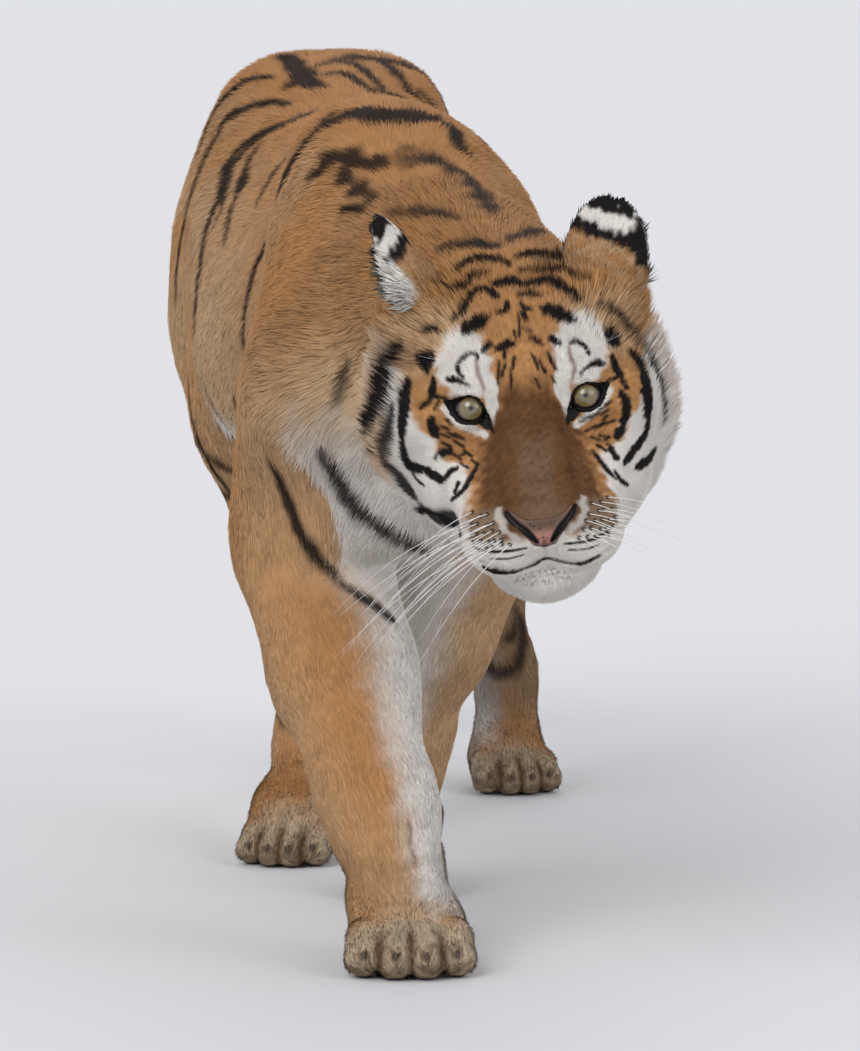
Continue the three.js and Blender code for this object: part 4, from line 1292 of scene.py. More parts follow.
NAPE_STRIPES = [  # soft marks behind the ears
    (12, [(-0.53, -33), (-0.54, -24), (-0.57, -16), (-0.59, -10)]),
    (12, [(-0.59, -7), (-0.58, -2), (-0.58, 3), (-0.60, 9), (-0.61, 15)]),
    (10, [(-0.56, -24), (-0.60, -21), (-0.64, -17)]),
]
BELLY_STRIPES = [
    (6, [(y, s * 116), (y - 0.03, s * 132), (y - 0.03, s * 150)])
    for y in (-0.2, -0.02, 0.14)
    for s in (1, -1)
]
# Places in metres on the neck, shoulders and legs, nearest to which the marks lie. They come from the same
# program and from the eye.
LOOSE_STRIPES = [
    (9, [(-0.099, -0.921, 0.642), (-0.103, -0.913, 0.615), (-0.105, -0.89, 0.587), (-0.10, -0.88, 0.562)]),
    (13, [(-0.098, -0.895, 0.565), (-0.092, -0.90, 0.548), (-0.078, -0.91, 0.532)]),
    (11, [(-0.066, -0.905, 0.523), (-0.047, -0.964, 0.516), (-0.033, -1.045, 0.515)]),
    (10, [(-0.15, -0.69, 0.56), (-0.114, -0.668, 0.497), (-0.059, -0.666, 0.458), (-0.029, -0.652, 0.442)]),
    (7, [(-0.205, -0.64, 0.545), (-0.19, -0.628, 0.51), (-0.166, -0.618, 0.458), (-0.117, -0.625, 0.408)]),
    (7, [(-0.117, -0.625, 0.408), (-0.085, -0.630, 0.385), (-0.060, -0.631, 0.366)]),
    (6, [(-0.12, -0.62, 0.83), (-0.10, -0.65, 0.835)]),
    (9, [(-0.030, -0.830, 0.806), (0.0, -0.84, 0.812), (0.030, -0.88, 0.812)]),
    (7, [(0.042, -0.855, 0.82), (0.068, -0.82, 0.821), (0.092, -0.765, 0.818)]),
    (5, [(0.150, -0.660, 0.520), (0.110, -0.690, 0.470), (0.060, -0.700, 0.440)]),
    (5, [(0.170, -0.560, 0.640), (0.175, -0.570, 0.560), (0.150, -0.600, 0.480)]),
]
SOFT_MARKS = [
    (7, [(-0.126, -0.726, 0.665), (-0.133, -0.722, 0.645), (-0.137, -0.72, 0.622)]),
    (13, [(0.022, -0.61, 0.863), (0.031, -0.68, 0.855), (0.038, -0.76, 0.842)]),
    (9, [(-0.075, -0.70, 0.834), (-0.037, -0.73, 0.839), (-0.005, -0.775, 0.835)]),
]
WRIST_MARK = [(-0.055, -0.783, 0.165), (-0.056, -0.79, 0.14), (-0.053, -0.795, 0.115)]


def trunk_middles(points):
    """The trunk's middle, as x and z against y."""
    mine = np.isin(node_of, [FLESH.index("trunk"), FLESH.index("tail_root")])
    y = np.arange(-0.6, 0.66, 0.04)
    places = []
    for place in y:
        p = points[mine & (np.abs(points[:, 1] - place) < 0.03)]
        places.append((p[:, [0, 2]].min(0) + p[:, [0, 2]].max(0)) / 2)
    places = np.array(places)
    places[1:-1] = (places[:-2] + places[1:-1] + places[2:]) / 3
    return y, places


def on_trunk(places, middles, tree):
    """Places in mm on the skin, from y and the angle about the trunk's middle."""
    y, centres = middles
    found = []
    for place, angle in places:
        c = np.array([np.interp(place, y, centres[:, 0]), place, np.interp(place, y, centres[:, 1])])
        out = np.array([math.sin(math.radians(angle)), 0, math.cos(math.radians(angle))])
        hit = tree.ray_cast(Vector(c + out * 0.7), Vector(-out))[0]
        found.append(np.array(hit if hit is not None else c))
    return np.array(found) / MM


def on_nearest(places, tree):
    """Places in mm on the skin, nearest to places in metres."""
    return np.array([np.array(tree.find_nearest(Vector(p))[0]) for p in places]) / MM


# The first and last band's place down each leg, as shares of it, and how many.
BANDS = {
    "front_right": (0.2, 0.9, 5),
    "front_left": (0.2, 0.9, 5),
    "hind_right": (0.42, 0.92, 7),
    "hind_left": (0.24, 0.92, 10),
}


def limb_rings():
    """Bands across the hind legs and inner forelegs, as places in metres."""
    rings = []
    rng = np.random.default_rng(8)
    for leg in LEGS:
        top, knee, foot = middle(f"{leg}_upper"), middle(f"{leg}_lower"), middle(f"{leg}_paw")
        s = 1 if leg.endswith("left") else -1
        hind = leg.startswith("hind")
        path = curve([top + (top - knee) * 0.35, top, (top + knee) / 2, knee, (knee + foot) / 2], 6)
        turn = np.linspace(-150, 70, 8) if hind else np.linspace(70, 150, 5)
        for share in np.linspace(*BANDS[leg]):
            at = path[int(share * (len(path) - 1))]
            size = 0.12 if share < 0.5 else 0.08
            turns = np.radians(turn + rng.uniform(-12, 12))
            lean = rng.uniform(-0.02, 0.02)
            out = np.stack([s * np.cos(turns) * size, np.sin(turns) * size, lean * np.sin(turns)], 1)
            rings.append((rng.uniform(7, 11) if hind else rng.uniform(4, 6), at + out))
    return rings


def tail_rings():
    """Rings round the tail, the last of them its dark tip, as places in metres."""
    a, b, c = (middle(f"tail_{part}") for part in ("root", "middle", "tip"))
    path = curve([a + (a - b) * 0.3, a, b, c, c + (c - b) * 0.5], 10)
    rings = []
    for share in np.linspace(0.12, 1.0, 10):
        i = min(int(share * (len(path) - 1)), len(path) - 2)
        along = unit(path[i + 1] - path[i])
        across = unit(np.cross(along, [1, 0, 0]))
        turns = np.radians(np.linspace(0, 360, 13))
        ring = [path[i] + 0.1 * (math.cos(t) * np.array([1, 0, 0]) + math.sin(t) * across) for t in turns]
        rings.append((9 if share < 0.95 else 26, np.array(ring)))
    return rings


# How far the white of a leg's inner side comes round to its front.
INNER_TURN = {"front_right": 0.24, "front_left": 0.5, "hind_right": 0.1, "hind_left": 0.1}


class Marks:
    """All the coat's marks, placed on the skin."""

    def __init__(self, tree):
        self.face = place_strokes(FACE_BLACK, tree, 1.2)
        self.brown = place_strokes(FACE_BROWN, tree)
        self.lips = place_strokes(LIP_BLACK, tree, 1.3)
        self.chin = place_strokes(CHIN_GREY, tree)
        self.spots = on_face(whisker_spots(), tree)
        middles = trunk_middles(skin.points)

        def round_trunk(strokes, ratio):
            return [(ratio * half, on_trunk(curve(places, 4), middles, tree)) for half, places in strokes]

        def nearest(strokes, ratio=1.0, steps=4):
            return [(ratio * half, on_nearest(curve(places, steps), tree)) for half, places in strokes]

        self.body = round_trunk(TRUNK_STRIPES + BELLY_STRIPES, 1.35) + nearest(LOOSE_STRIPES, 1.2)
        self.limbs = nearest(limb_rings() + tail_rings(), steps=3)
        self.soft = round_trunk(NAPE_STRIPES, 1.25) + nearest(SOFT_MARKS)
        self.wrist = nearest([(2.6, WRIST_MARK)])

    def colours(self, points, normals, nodes, ears):
        """The coat's linear colours at points of the skin."""
        head, neck, trunk = (nodes == FLESH.index(name) for name in ("head", "neck", "trunk"))
        x, y, z = points.T
        nx, ny, nz = normals.T
        mm = points / MM
        broad, rough = ripple(points, 0.22, 1), ripple(mm, 26, 2)
        colour = mix(ORANGE, DEEP, np.clip(0.35 * nz + 0.1 * broad, 0, 0.5))
        colour = mix(colour, PALE, np.clip(0.35 - 0.5 * nz + 0.15 * broad, 0, 0.55))
        white = np.where(trunk, smooth(-0.25, -0.7, nz + 0.1 * rough) * smooth(0.60, 0.53, z), 0.0)
        for i, node in enumerate(FLESH):
            mine = nodes == i
            if not mine.any() or node in ("head", "neck", "trunk"):
                continue
            if node.startswith("tail"):
                white[mine] = 0.75 * smooth(0.1, -0.6, nz[mine]) + 0.3 * smooth(0.75, 1.0, y[mine])
                continue
            s = 1 if "left" in node else -1
            inner = -s * nx[mine] - INNER_TURN[node.rsplit("_", 1)[0]] * ny[mine]
            white[mine] = smooth(0.12, 0.82, inner + 0.05 * rough[mine])
            if node.endswith("paw"):
                white[mine] *= 0.35 + 0.65 * smooth(0.05, 0.09, z[mine])
        front = smooth(0.15, 0.7, -0.75 * ny - 0.65 * nz + 0.1 * rough)
        breast = neck | (trunk & (y < -0.35))
        colour = mix(colour, PALE, 0.6 * breast * front * smooth(0.74, 0.66, z) * smooth(-0.20, -0.15, x))
        throat = front * smooth(0.64, 0.52, z + 0.01 * rough) * smooth(-0.21, -0.16, x + 0.15 * (z - 0.55))
        white = np.where(breast, np.maximum(white, throat), white)
        if len(white) == len(skin.points):
            white = skin.relax(white, 4)
        colour = mix(colour, WHITE, np.clip(white, 0, 1))
        flank = trunk * smooth(-0.30, 0.0, y) * smooth(0.86, 0.74, z)
        colour = mix(colour, PALE * 1.1, 0.45 * flank * (1 - np.clip(white, 0, 1)))
        colour = mix(colour, DEEP * 0.8, 0.35 * neck * smooth(0.62, 0.72, z))
        # Painted shade: the far hind leg is darkened from above its paw up to its thigh.
        shaded_far_leg = np.isin(nodes, [FLESH.index(f"hind_left_{part}") for part in LEG_PARTS])
        colour = mix(colour, FAR_LEG_SHADE, 0.68 * shaded_far_leg * smooth(0.55, 0.40, z) * smooth(0.05, 0.13, z))
        for leg, paw in PAWS.items():
            mine = np.where(nodes == FLESH.index(f"{leg}_paw"))[0]
            q = paw.to(points[mine])
            between = np.abs((q[:, 0] / paw.spread + 0.5) % 1 - 0.5) * paw.spread
            ahead = smooth(10 - paw.reach, -12 - paw.reach, q[:, 1])
            # Painted shade in the creases between the toes.
            crease_shade = np.exp(-((between / 6) ** 2)) * ahead * (np.abs(q[:, 0]) < 1.4 * paw.spread)
            speck = smooth(0.35, 1.2, ripple(mm[mine], 13, 7)) * ahead
            for _, tip in paw.toes():
                front_of_toe = np.array(tip) + (0, 2 - paw.toe, 0.3 * paw.toe)
                speck = np.maximum(speck, 1.3 * smooth(9, 3, np.linalg.norm(q - front_of_toe, axis=1)))
            low = smooth(22, 4, q[:, 2] + 7 * ripple(mm[mine], 16, 9)) * ahead
            colour[mine] = mix(colour[mine], PAW_PALE, 0.85 * smooth(34 - paw.reach, -4 - paw.reach, q[:, 1]))
            # brown joins the creases' painted shade with the toes' dark specks and the darker fur low on
            # their fronts.
            brown = np.maximum(0.9 * crease_shade, np.maximum(0.62 * speck, 0.6 * low))
            colour[mine] = mix(colour[mine], BROWN * 0.7, np.clip(brown, 0, 0.92))
            sole = smooth(-0.75, -0.92, nz[mine]) * smooth(30 + paw.rise, 12 + paw.rise, q[:, 2])
            colour[mine] = mix(colour[mine], BLACK * 3, sole)
        local = to_head(points)
        near_head = (head | neck) & (local[:, 1] < 170) & (np.linalg.norm(local - (0, 40, -60), axis=1) < 300)
        colour[near_head] = face_colours(local[near_head], colour[near_head])
        colour = mix(colour, BROWN, 0.8 * stroke_share(mm, self.wrist, 3.0, rough))
        dark = 0.96 * stroke_share(mm, self.body, 5.0, rough)
        dark = np.maximum(dark, 0.9 * stroke_share(mm, self.limbs, 6.0, rough))
        dark = np.maximum(dark, 0.93 * stroke_share(mm, self.soft, 8.0, 3 * rough))
        fine = ripple(mm, 9, 4)
        q, f = local[near_head], fine[near_head]
        colour[near_head] = mix(colour[near_head], BROWN, 0.75 * stroke_share(q, self.brown, 2.5, f))
        specks = 0.7 * smooth(-0.1, 0.7, ripple(q, 4, 41)) * stroke_share(q, self.chin, 3.5, f * 3)
        colour[near_head] = mix(colour[near_head], GREY, specks)
        black = stroke_share(q, self.face, 1.6, f)
        black = np.maximum(black, stroke_share(q, self.lips, 1.0, f))
        for spot in self.spots:
            close = np.where(np.abs(q - spot).max(1) < 4)[0]
            inside = 1 - smooth(2.0, 3.3, np.linalg.norm(q[close] - spot, axis=1))
            black[close] = np.maximum(black[close], 0.95 * inside)
        dark[near_head] = np.maximum(dark[near_head], black)
        colour = mix(colour, BLACK, dark)
        for number, side in enumerate(SIDES, 1):
            mine = ears == number
            if mine.any():
                colour[mine] = ear_colours(EAR_FRAMES[side], local[mine], normals[mine])
        return colour


def ear_colours(ear, p, normals):
    """The black back with its white spot, agouti fur below them, and the pale hair in the cup."""
    across, up = ear.to(p)[:2]
    t = across / EAR_HALF
    turn = ear.facing @ HEAD_TURN
    inner = smooth(-0.1, 0.12, normals @ turn)
    rough = ripple(p, 14, 6) * 0.03
    outer_edge = np.sign(ear.root[0]) * -t if ear.facing[1] > 0.5 else np.zeros(len(p))
    rising = 0.59 - 0.22 * smooth(0.5, 0.95, outer_edge)
    agouti = mix(ORANGE * 0.8, PALE * 0.8, smooth(-0.6, 0.6, ripple(p, 8, 12)) * 0.6)
    back = mix(agouti, BLACK, smooth(-0.04, 0.03, up - rising + rough))
    spot = smooth(0.70, 0.75, up + rough) * smooth(0.90, 0.85, up + rough + 0.05 * t**2)
    back = mix(back, WHITE, spot * smooth(0.66, 0.5, outer_edge))
    if ear.facing[0] < -0.5:  # this ear opens sideways, and the hair of its cup comes over its front rim
        rim = smooth(0.6, 0.8, t - 0.25 * smooth(0.35, 0.1, up))
        back = mix(back, WHITE, rim * smooth(0.72, 0.64, up + rough))
    cup = mix(WHITE * 0.95, PALE * 0.6, 0.5 * smooth(0.4, 0.1, np.abs(t)) * smooth(0.9, 0.4, up))
    cup = mix(cup, PALE * 0.8, 0.7 * smooth(0.3, 0.05, up))
    cup = mix(cup, BLACK, smooth(0.93, 0.99, up) * 0.8)
    return mix(back, cup, inner)


tree = skin_tree()
marks = Marks(tree)
skin_normals = skin.normals()
coat_material = plain("coat", (0.4, 0.2, 0.1), 0.8, specular=0.04, painted=True)
skin_material = plain("skin", (0.4, 0.2, 0.1), 0.85, specular=0.1, painted=True)
add_bump(skin_material, 700, 0.5, 0.6 * MM)
body = bpy.data.objects.new("skin", skin.mesh)
bpy.context.scene.collection.objects.link(body)
paint(body, marks.colours(skin.points, skin_normals, node_of, on_ear))
skin.mesh.polygons.foreach_set("use_smooth", np.ones(len(skin.mesh.polygons), bool))
finish_piece(body, "coat", skin_material, *FLESH, *EARS)

# ---- The coat ----
PIECE_LIMIT = 190_000  # triangles in one piece of the coat
FACE_DEPTH = 20  # mm behind the eyes where the face's own piece ends
LONG_HAIR = 26  # mm
UV_PATCH = 0.0015  # half the width of a tuft's patch


def lie_of_coat():
    """The way the coat lies at each point of the skin, as unit vectors along the skin."""
    p, normals = skin.points, skin_normals
    local = to_head(p)
    flow = np.repeat([[0.0, 1.0, -0.3]], len(p), 0)
    flow[:, 2] -= 0.45 * np.abs(normals[:, 0]) * (node_of == FLESH.index("trunk"))
    for leg in LEGS:
        upper, lower, paw = (middle(f"{leg}_{part}") for part in LEG_PARTS)
        back = np.array([0, 0.35, 0])
        flow[node_of == FLESH.index(f"{leg}_upper")] = unit(lower - upper) + back
        flow[node_of == FLESH.index(f"{leg}_lower")] = unit(paw - lower) + back * 0.3
        flow[node_of == FLESH.index(f"{leg}_paw")] = -PAWS[leg].back - [0, 0, 0.35]
    root, mid, tip = (middle(f"tail_{part}") for part in ("root", "middle", "tip"))
    flow[node_of == FLESH.index("tail_root")] = unit(mid - root)
    flow[node_of == FLESH.index("tail_middle")] = unit(tip - root)
    flow[node_of == FLESH.index("tail_tip")] = unit(tip - mid)
    flow = skin.relax(unit(flow), 25)
    head = node_of == FLESH.index("head")
    from_nose = unit(local - np.array([0, -168, -66]))
    around = np.zeros_like(local)
    for eye in EYE_FRAMES.values():
        away = local - eye.centre
        size = np.linalg.norm(away, axis=1)
        around += unit(away) * (1.6 * smooth(52, 20, size))[:, None]
    from_nose = unit(from_nose + around)
    share = (head * smooth(150, 110, local[:, 1]))[:, None]
    flow = flow + share * (from_nose @ HEAD_TURN - flow)
    for number, side in enumerate(SIDES, 1):
        ear = EAR_FRAMES[side]
        across = ear.to(local)[0]
        spread = ear.up + ear.side * np.clip(across / 60, -0.6, 0.6)[:, None] + ear.facing * 0.2
        if side == "right":
            spread = spread + ear.facing * smooth(0.4, 0.75, across / EAR_HALF)[:, None]
        flow[on_ear == number] = (spread @ HEAD_TURN)[on_ear == number]
        base = smooth(78, 52, np.linalg.norm(local - ear.root - ear.up * 12, axis=1)) * (on_ear == 0)
        flow += base[:, None] * (0.8 * unit(spread) @ HEAD_TURN - 0.5 * flow)
    flow = flow - normals * (flow * normals).sum(1)[:, None]
    flow = skin.relax(unit(flow), 4)
    return unit(flow - normals * (flow * normals).sum(1)[:, None])


def coat_sizes():
    """Length, width, spacing in mm and lift in degrees of the tufts at each point of the skin."""
    table = {
        "trunk": (23, 2.1, 3.85, 5),
        "neck": (25, 1.9, 3.6, 7),
        "upper": (19, 1.9, 3.75, 4.5),
        "lower": (13, 1.4, 3.1, 4.5),
        "paw": (9, 1.3, 2.35, 14),
        "tail": (24, 2.1, 3.95, 12),
        "head": (11, 1.45, 2.6, 12),
    }
    sizes = np.stack([by_node({k: v[i] for k, v in table.items()}) for i in range(4)], 1)
    sizes = skin.relax(sizes, 12)
    x, y, z = to_head(skin.points).T
    belly = smooth(-0.3, -0.8, skin_normals[:, 2]) * (node_of == FLESH.index("trunk"))
    sizes[:, 0] += 8 * belly
    sizes[:, 3] += 6 * belly
    head = (node_of == FLESH.index("head")) * smooth(140, 100, y)
    ruff = smooth(92, 140, np.abs(x)) * smooth(20, 80, y) * smooth(80, 20, z)
    chin = smooth(-130, -165, z) * smooth(60, 0, y)
    face = np.stack([
        3.8 + 7.0 * smooth(-70, 70, y) + 4 * smooth(40, 110, y) + 19 * ruff + 6 * chin,
        0.9 + 0.55 * smooth(-60, 80, y) + 0.5 * ruff + 0.2 * chin,
        1.52 + 0.82 * smooth(-40, 90, y) + 0.55 * ruff,
        11 + 6 * smooth(40, 110, y) + 7 * ruff + 6 * chin,
    ], 1)
    sizes += head[:, None] * (face - sizes)
    for number, side in enumerate(SIDES, 1):
        ear = EAR_FRAMES[side]
        mine = on_ear == number
        inside = smooth(0.15, 0.5, skin_normals[mine] @ (ear.facing @ HEAD_TURN))
        across, up = ear.to(to_head(skin.points[mine]))[:2]
        if side == "right":
            inside = np.maximum(inside, 0.75 * smooth(0.6, 0.85, across / EAR_HALF))
        low, high = smooth(0.45, 0.1, up), smooth(0.62, 0.88, up)
        sizes[mine] = np.stack([
            5 + (FLUFF[side] * inside + 9 * low) * (1 - high),
            1.1 + 0.5 * inside,
            1.7 + 0.5 * inside,
            7 + 32 * inside * (1 - high) + 8 * low,
        ], 1)
        from_root = np.linalg.norm(to_head(skin.points) - ear.root - ear.up * 12, axis=1)
        base = smooth(78, 52, from_root) * (on_ear == 0)
        sizes += base[:, None] * (np.array([18, 1.5, 2.5, 18]) - sizes)
    return sizes


class Unwrap:
    """Lays the skin out flat: each node seen from six ways, the views packed in rows."""

    def __init__(self):
        self.places = {}
        views = []
        for node in range(len(FLESH)):
            mine = node_of == node
            low, high = skin.points[mine].min(0), skin.points[mine].max(0)
            for way in range(6):
                a, b = [k for k in range(3) if k != way % 3]
                views.append((high[b] - low[b], high[a] - low[a], node, way, low[a], low[b]))
        views.sort(reverse=True)
        width = math.sqrt(sum(v[0] * v[1] for v in views)) * 1.15
        x = y = shelf = 0.0
        for tall, wide, node, way, low_a, low_b in views:
            if x + wide > width:
                x, y, shelf = 0.0, y + shelf, 0.0
            self.places[node, way] = (x - low_a, y - low_b)
            x, shelf = x + wide + 0.01, max(shelf, tall + 0.01)
        self.scale = 0.98 / max(width + 0.01, y + shelf)

    def at(self, points, normals, nodes):
        """UV coordinates of points on the skin."""
        across = np.abs(normals).argmax(1)
        behind = normals[np.arange(len(points)), across] < 0
        way = across + 3 * behind
        uv = np.empty((len(points), 2))
        for key, (du, dv) in self.places.items():
            mine = (nodes == key[0]) & (way == key[1])
            a, b = [k for k in range(3) if k != key[1] % 3]
            uv[mine] = points[mine][:, [a, b]] + (du, dv)
        return 0.01 + uv * self.scale


def scatter(rng, spacing, faces, points):
    """Roots over the skin: the face of each and its place on it."""
    a, b, c = (points[faces[:, k]] for k in range(3))
    area = np.linalg.norm(np.cross(b - a, c - a), axis=1) / 2
    wanted = area / (spacing[faces].mean(1) * MM) ** 2
    counts = np.floor(wanted + rng.random(len(faces))).astype(int)
    chosen = np.repeat(np.arange(len(faces)), counts)
    u, v = rng.random((2, len(chosen)))
    over = u + v > 1
    u[over], v[over] = 1 - u[over], 1 - v[over]
    return chosen, np.stack([1 - u - v, u, v], 1)


def agouti_fur(points, nodes):
    """Where single tufts have dark tips: round the ears, over the temples and on the neck."""
    local = to_head(points)
    share = np.zeros(len(points))
    for ear in EAR_FRAMES.values():
        share = np.maximum(share, smooth(95, 60, np.linalg.norm(local - ear.root - ear.up * 8, axis=1)))
    neck = (nodes == FLESH.index("neck")) * smooth(0.60, 0.70, points[:, 2])
    return np.maximum(0.8 * share, 0.55 * neck)


def grow_coat():
    """All the tufts as arrays: their roots, ways, sizes and colours."""
    rng = np.random.default_rng(2)
    mesh = skin.mesh
    mesh.calc_loop_triangles()
    faces = np.empty(len(mesh.loop_triangles) * 3, int)
    mesh.loop_triangles.foreach_get("vertices", faces)
    faces = faces.reshape(-1, 3)
    flow, sizes = lie_of_coat(), coat_sizes()
    chosen, shares = scatter(rng, sizes[:, 2], faces, skin.points)
    corners = faces[chosen]

    def at_roots(values):
        return (values[corners] * (shares[:, :, None] if values.ndim > 1 else shares)).sum(1)

    roots, normals = at_roots(skin.points), unit(at_roots(skin_normals))
    flows, size = at_roots(flow), at_roots(sizes)
    first = corners[np.arange(len(corners)), shares.argmax(1)]
    nodes, ears = node_of[first], on_ear[first]
    keep = ~bare(roots, normals)
    roots, normals, flows, size, nodes, ears = (v[keep] for v in (roots, normals, flows, size, nodes, ears))
    count = len(roots)
    wave = 0.12 * ripple(roots, 0.07, 31) + 0.09 * ripple(roots, 0.02, 32) + rng.normal(0, 0.09, count)
    across = np.cross(normals, flows)
    lie = unit(flows * np.cos(wave)[:, None] + across * np.sin(wave)[:, None])
    lie = unit(lie - normals * (lie * normals).sum(1)[:, None])
    across = np.cross(normals, lie)
    uneven = 1 + 0.16 * ripple(roots, 0.03, 33) + rng.normal(0, 0.14, count)
    length = size[:, 0] * MM * np.clip(uneven, 0.45, 1.6)
    width = size[:, 1] * MM * rng.uniform(0.75, 1.25, count)
    uneven = 1 + 0.14 * ripple(roots, 0.022, 34) + rng.normal(0, 0.15, count)
    lift = np.radians(np.clip(size[:, 3] * uneven, 3, 60))
    toes = np.isin(nodes, [FLESH.index(f"{leg}_paw") for leg in LEGS]) * smooth(0.10, 0.06, roots[:, 2])
    agouti = np.maximum(toes, agouti_fur(roots, nodes))
    tone = 1 + 0.06 * ripple(roots, 0.04, 35) + rng.normal(0, 0.045, count) * (1 + 2.5 * agouti)
    tone = np.clip(tone * np.where(rng.random(count) < 0.22 * agouti, 0.45, 1.0), 0.3, 1.5)
    far = np.where(size[:, 0] > 16, 0.7, 0.95)  # share of the length whose place gives the tip's colour
    places = [roots + lie * (share * length)[:, None] for share in (0.5 * far, far)]
    colours = [marks.colours(place, normals, nodes, ears) for place in places]
    fluff = (ears > 0) & (size[:, 3] > 23)
    colours = [np.where(fluff[:, None], WHITE, colour) for colour in colours]
    return {
        "roots": roots, "normals": normals, "lie": lie, "across": across, "length": length, "width": width,
        "lift": lift, "size": size[:, 0], "nodes": nodes, "ears": ears, "low": colours[0], "high": colours[1],
        "tone": tone, "uv": Unwrap().at(roots, normals, nodes),
    }


def bare(points, normals):
    """Where no fur grows: under the lids and the nose pad, and on the soles."""
    local = to_head(points)
    none = (points[:, 2] < 6 * MM) & (normals[:, 2] < -0.6)
    near = np.where((local[:, 1] < 60) & (np.abs(local[:, 0]) < 120))[0]
    for eye in EYE_FRAMES.values():
        q = eye.to(local[near])
        close = (np.hypot(q[:, 0], q[:, 1]) < 40) & (q[:, 2] > -5)
        none[near[close]] |= within(q[close][:, :2], curve(LID_EDGE, 4, closed=True)) > 0.8
    pad, inside = near_pad(local)
    none[pad] |= inside > 1.2
    return none


def strands(t, segments):
    """Points, triangles, normals, colour shares and patch corners of closed tapering tufts."""
    n, count = t["normals"], len(t["roots"])
    up, out = np.sin(t["lift"])[:, None], np.cos(t["lift"])[:, None]
    length, width = t["length"][:, None], t["width"][:, None]
    rings, shade, turns, patch = [], [], [], []
    for k in range(segments):
        f = k / segments
        way = t["lie"] * out + n * up * (1 - 0.75 * f)
        centre = t["roots"] + length * f * way - n * 0.4 * MM
        w = width * (0.5 if f == 0 else 0.42)
        rings += [centre - t["across"] * w, centre + t["across"] * w, centre + n * 0.35 * width]
        turns += [n - 0.2 * t["across"], n + 0.2 * t["across"], n + 0.1 * t["lie"]]
        shade += [f, f, f]
        patch += [(-1, -1 + f), (1, -1 + f), (0, -0.6 + f)]
    tip = t["roots"] + length * (t["lie"] * out + n * up * (1 - 0.75 * (1 - 1 / segments)))
    rings.append(tip)
    turns.append(n + 0.25 * t["lie"])
    shade.append(1.0)
    patch.append((0, 1))
    per = len(rings)
    points = np.stack(rings, 1).reshape(-1, 3)
    points[:, 2] = np.maximum(points[:, 2], 0.3 * MM)
    faces = [(0, 2, 1)]
    for k in range(segments - 1):
        a = 3 * k
        for i, j in ((2, 0), (1, 2), (0, 1)):
            faces += [(a + i, a + j, a + 3 + j), (a + i, a + 3 + j, a + 3 + i)]
    a = 3 * (segments - 1)
    faces += [(a + 2, a, per - 1), (a + 1, a + 2, per - 1), (a, a + 1, per - 1)]
    faces = np.array(faces)[None] + per * np.arange(count)[:, None, None]
    normals = unit(np.stack(turns, 1)).reshape(-1, 3)
    return points, faces.reshape(-1, 3), normals, np.array(shade), np.array(patch)


def coat_piece(name, tufts, segments):
    """One piece of the coat, with its colours and its UV map."""
    points, faces, normals, shade, patch = strands(tufts, segments)
    piece = mesh_object(name, points, faces)
    mesh = piece.data
    mesh.normals_split_custom_set_from_vertices(normals.astype(np.float32))
    along = shade[None, :, None]
    ground = tufts["low"][:, None] * (1 - along) + tufts["high"][:, None] * along
    light = (0.92 + 0.12 * along) * tufts["tone"][:, None, None]
    paint(piece, np.clip((ground * light).reshape(-1, 3), 0, 1))
    layer = mesh.uv_layers.new(name="OFBake")
    uv = (tufts["uv"][:, None] + UV_PATCH * patch[None]).reshape(-1, 2)
    layer.data.foreach_set("uv", uv[faces.reshape(-1)].astype(np.float32).reshape(-1))
    finish_piece(piece, "coat", coat_material)


def build_coat():
    """Makes the coat's pieces by part of the body, those of long hair with two segments in each tuft."""
    tufts = grow_coat()
    names = np.array([node.split("_")[0] for node in FLESH])[tufts["nodes"]]
    names[(names == "head") & (to_head(tufts["roots"])[:, 1] < FACE_DEPTH)] = "face"
    names[tufts["ears"] > 0] = "ears"
    names[tufts["size"] > LONG_HAIR] = "long"
    for name in sorted(set(names)):
        chosen = np.where(names == name)[0]
        segments = 2 if name in ("long", "ears") else 1
        most = PIECE_LIMIT // (4 if segments == 1 else 10)
        pieces = -(-len(chosen) // most)
        chosen = chosen[np.argsort(tufts["roots"][chosen, 1], kind="stable")]
        for number, part in enumerate(np.array_split(chosen, pieces), 1):
            label = f"coat_{name}" if pieces == 1 else f"coat_{name}_{number}"
            coat_piece(label, {k: v[part] for k, v in tufts.items()}, segments)


build_coat()


# ---- Whiskers and claws ----
def tube(path, radii, sides=5):
    """Points and faces of a closed tapering tube along a path."""
    along = unit(np.gradient(path, axis=0))
    across = unit(np.cross(along, [0.31, 0.17, 0.93]))
    above = np.cross(along, across)
    turns = np.linspace(0, 2 * math.pi, sides, endpoint=False)
    round_turn = zip(path, radii, across, above)
    rings = [p + r * (np.cos(turns)[:, None] * a + np.sin(turns)[:, None] * b) for p, r, a, b in round_turn]
    points = np.concatenate([*rings, path[:1], path[-1:]])
    ring, last = np.arange(sides), (len(path) - 1) * sides
    count = len(path) * sides
    caps = np.concatenate([
        np.stack([np.full(sides, count), np.roll(ring, -1), ring], 1),
        np.stack([np.full(sides, count + 1), last + ring, last + np.roll(ring, -1)], 1),
    ])
    quads = grid_faces(len(path), sides)
    return points, np.concatenate([caps, quads[:, [0, 1, 2]], quads[:, [0, 2, 3]]])


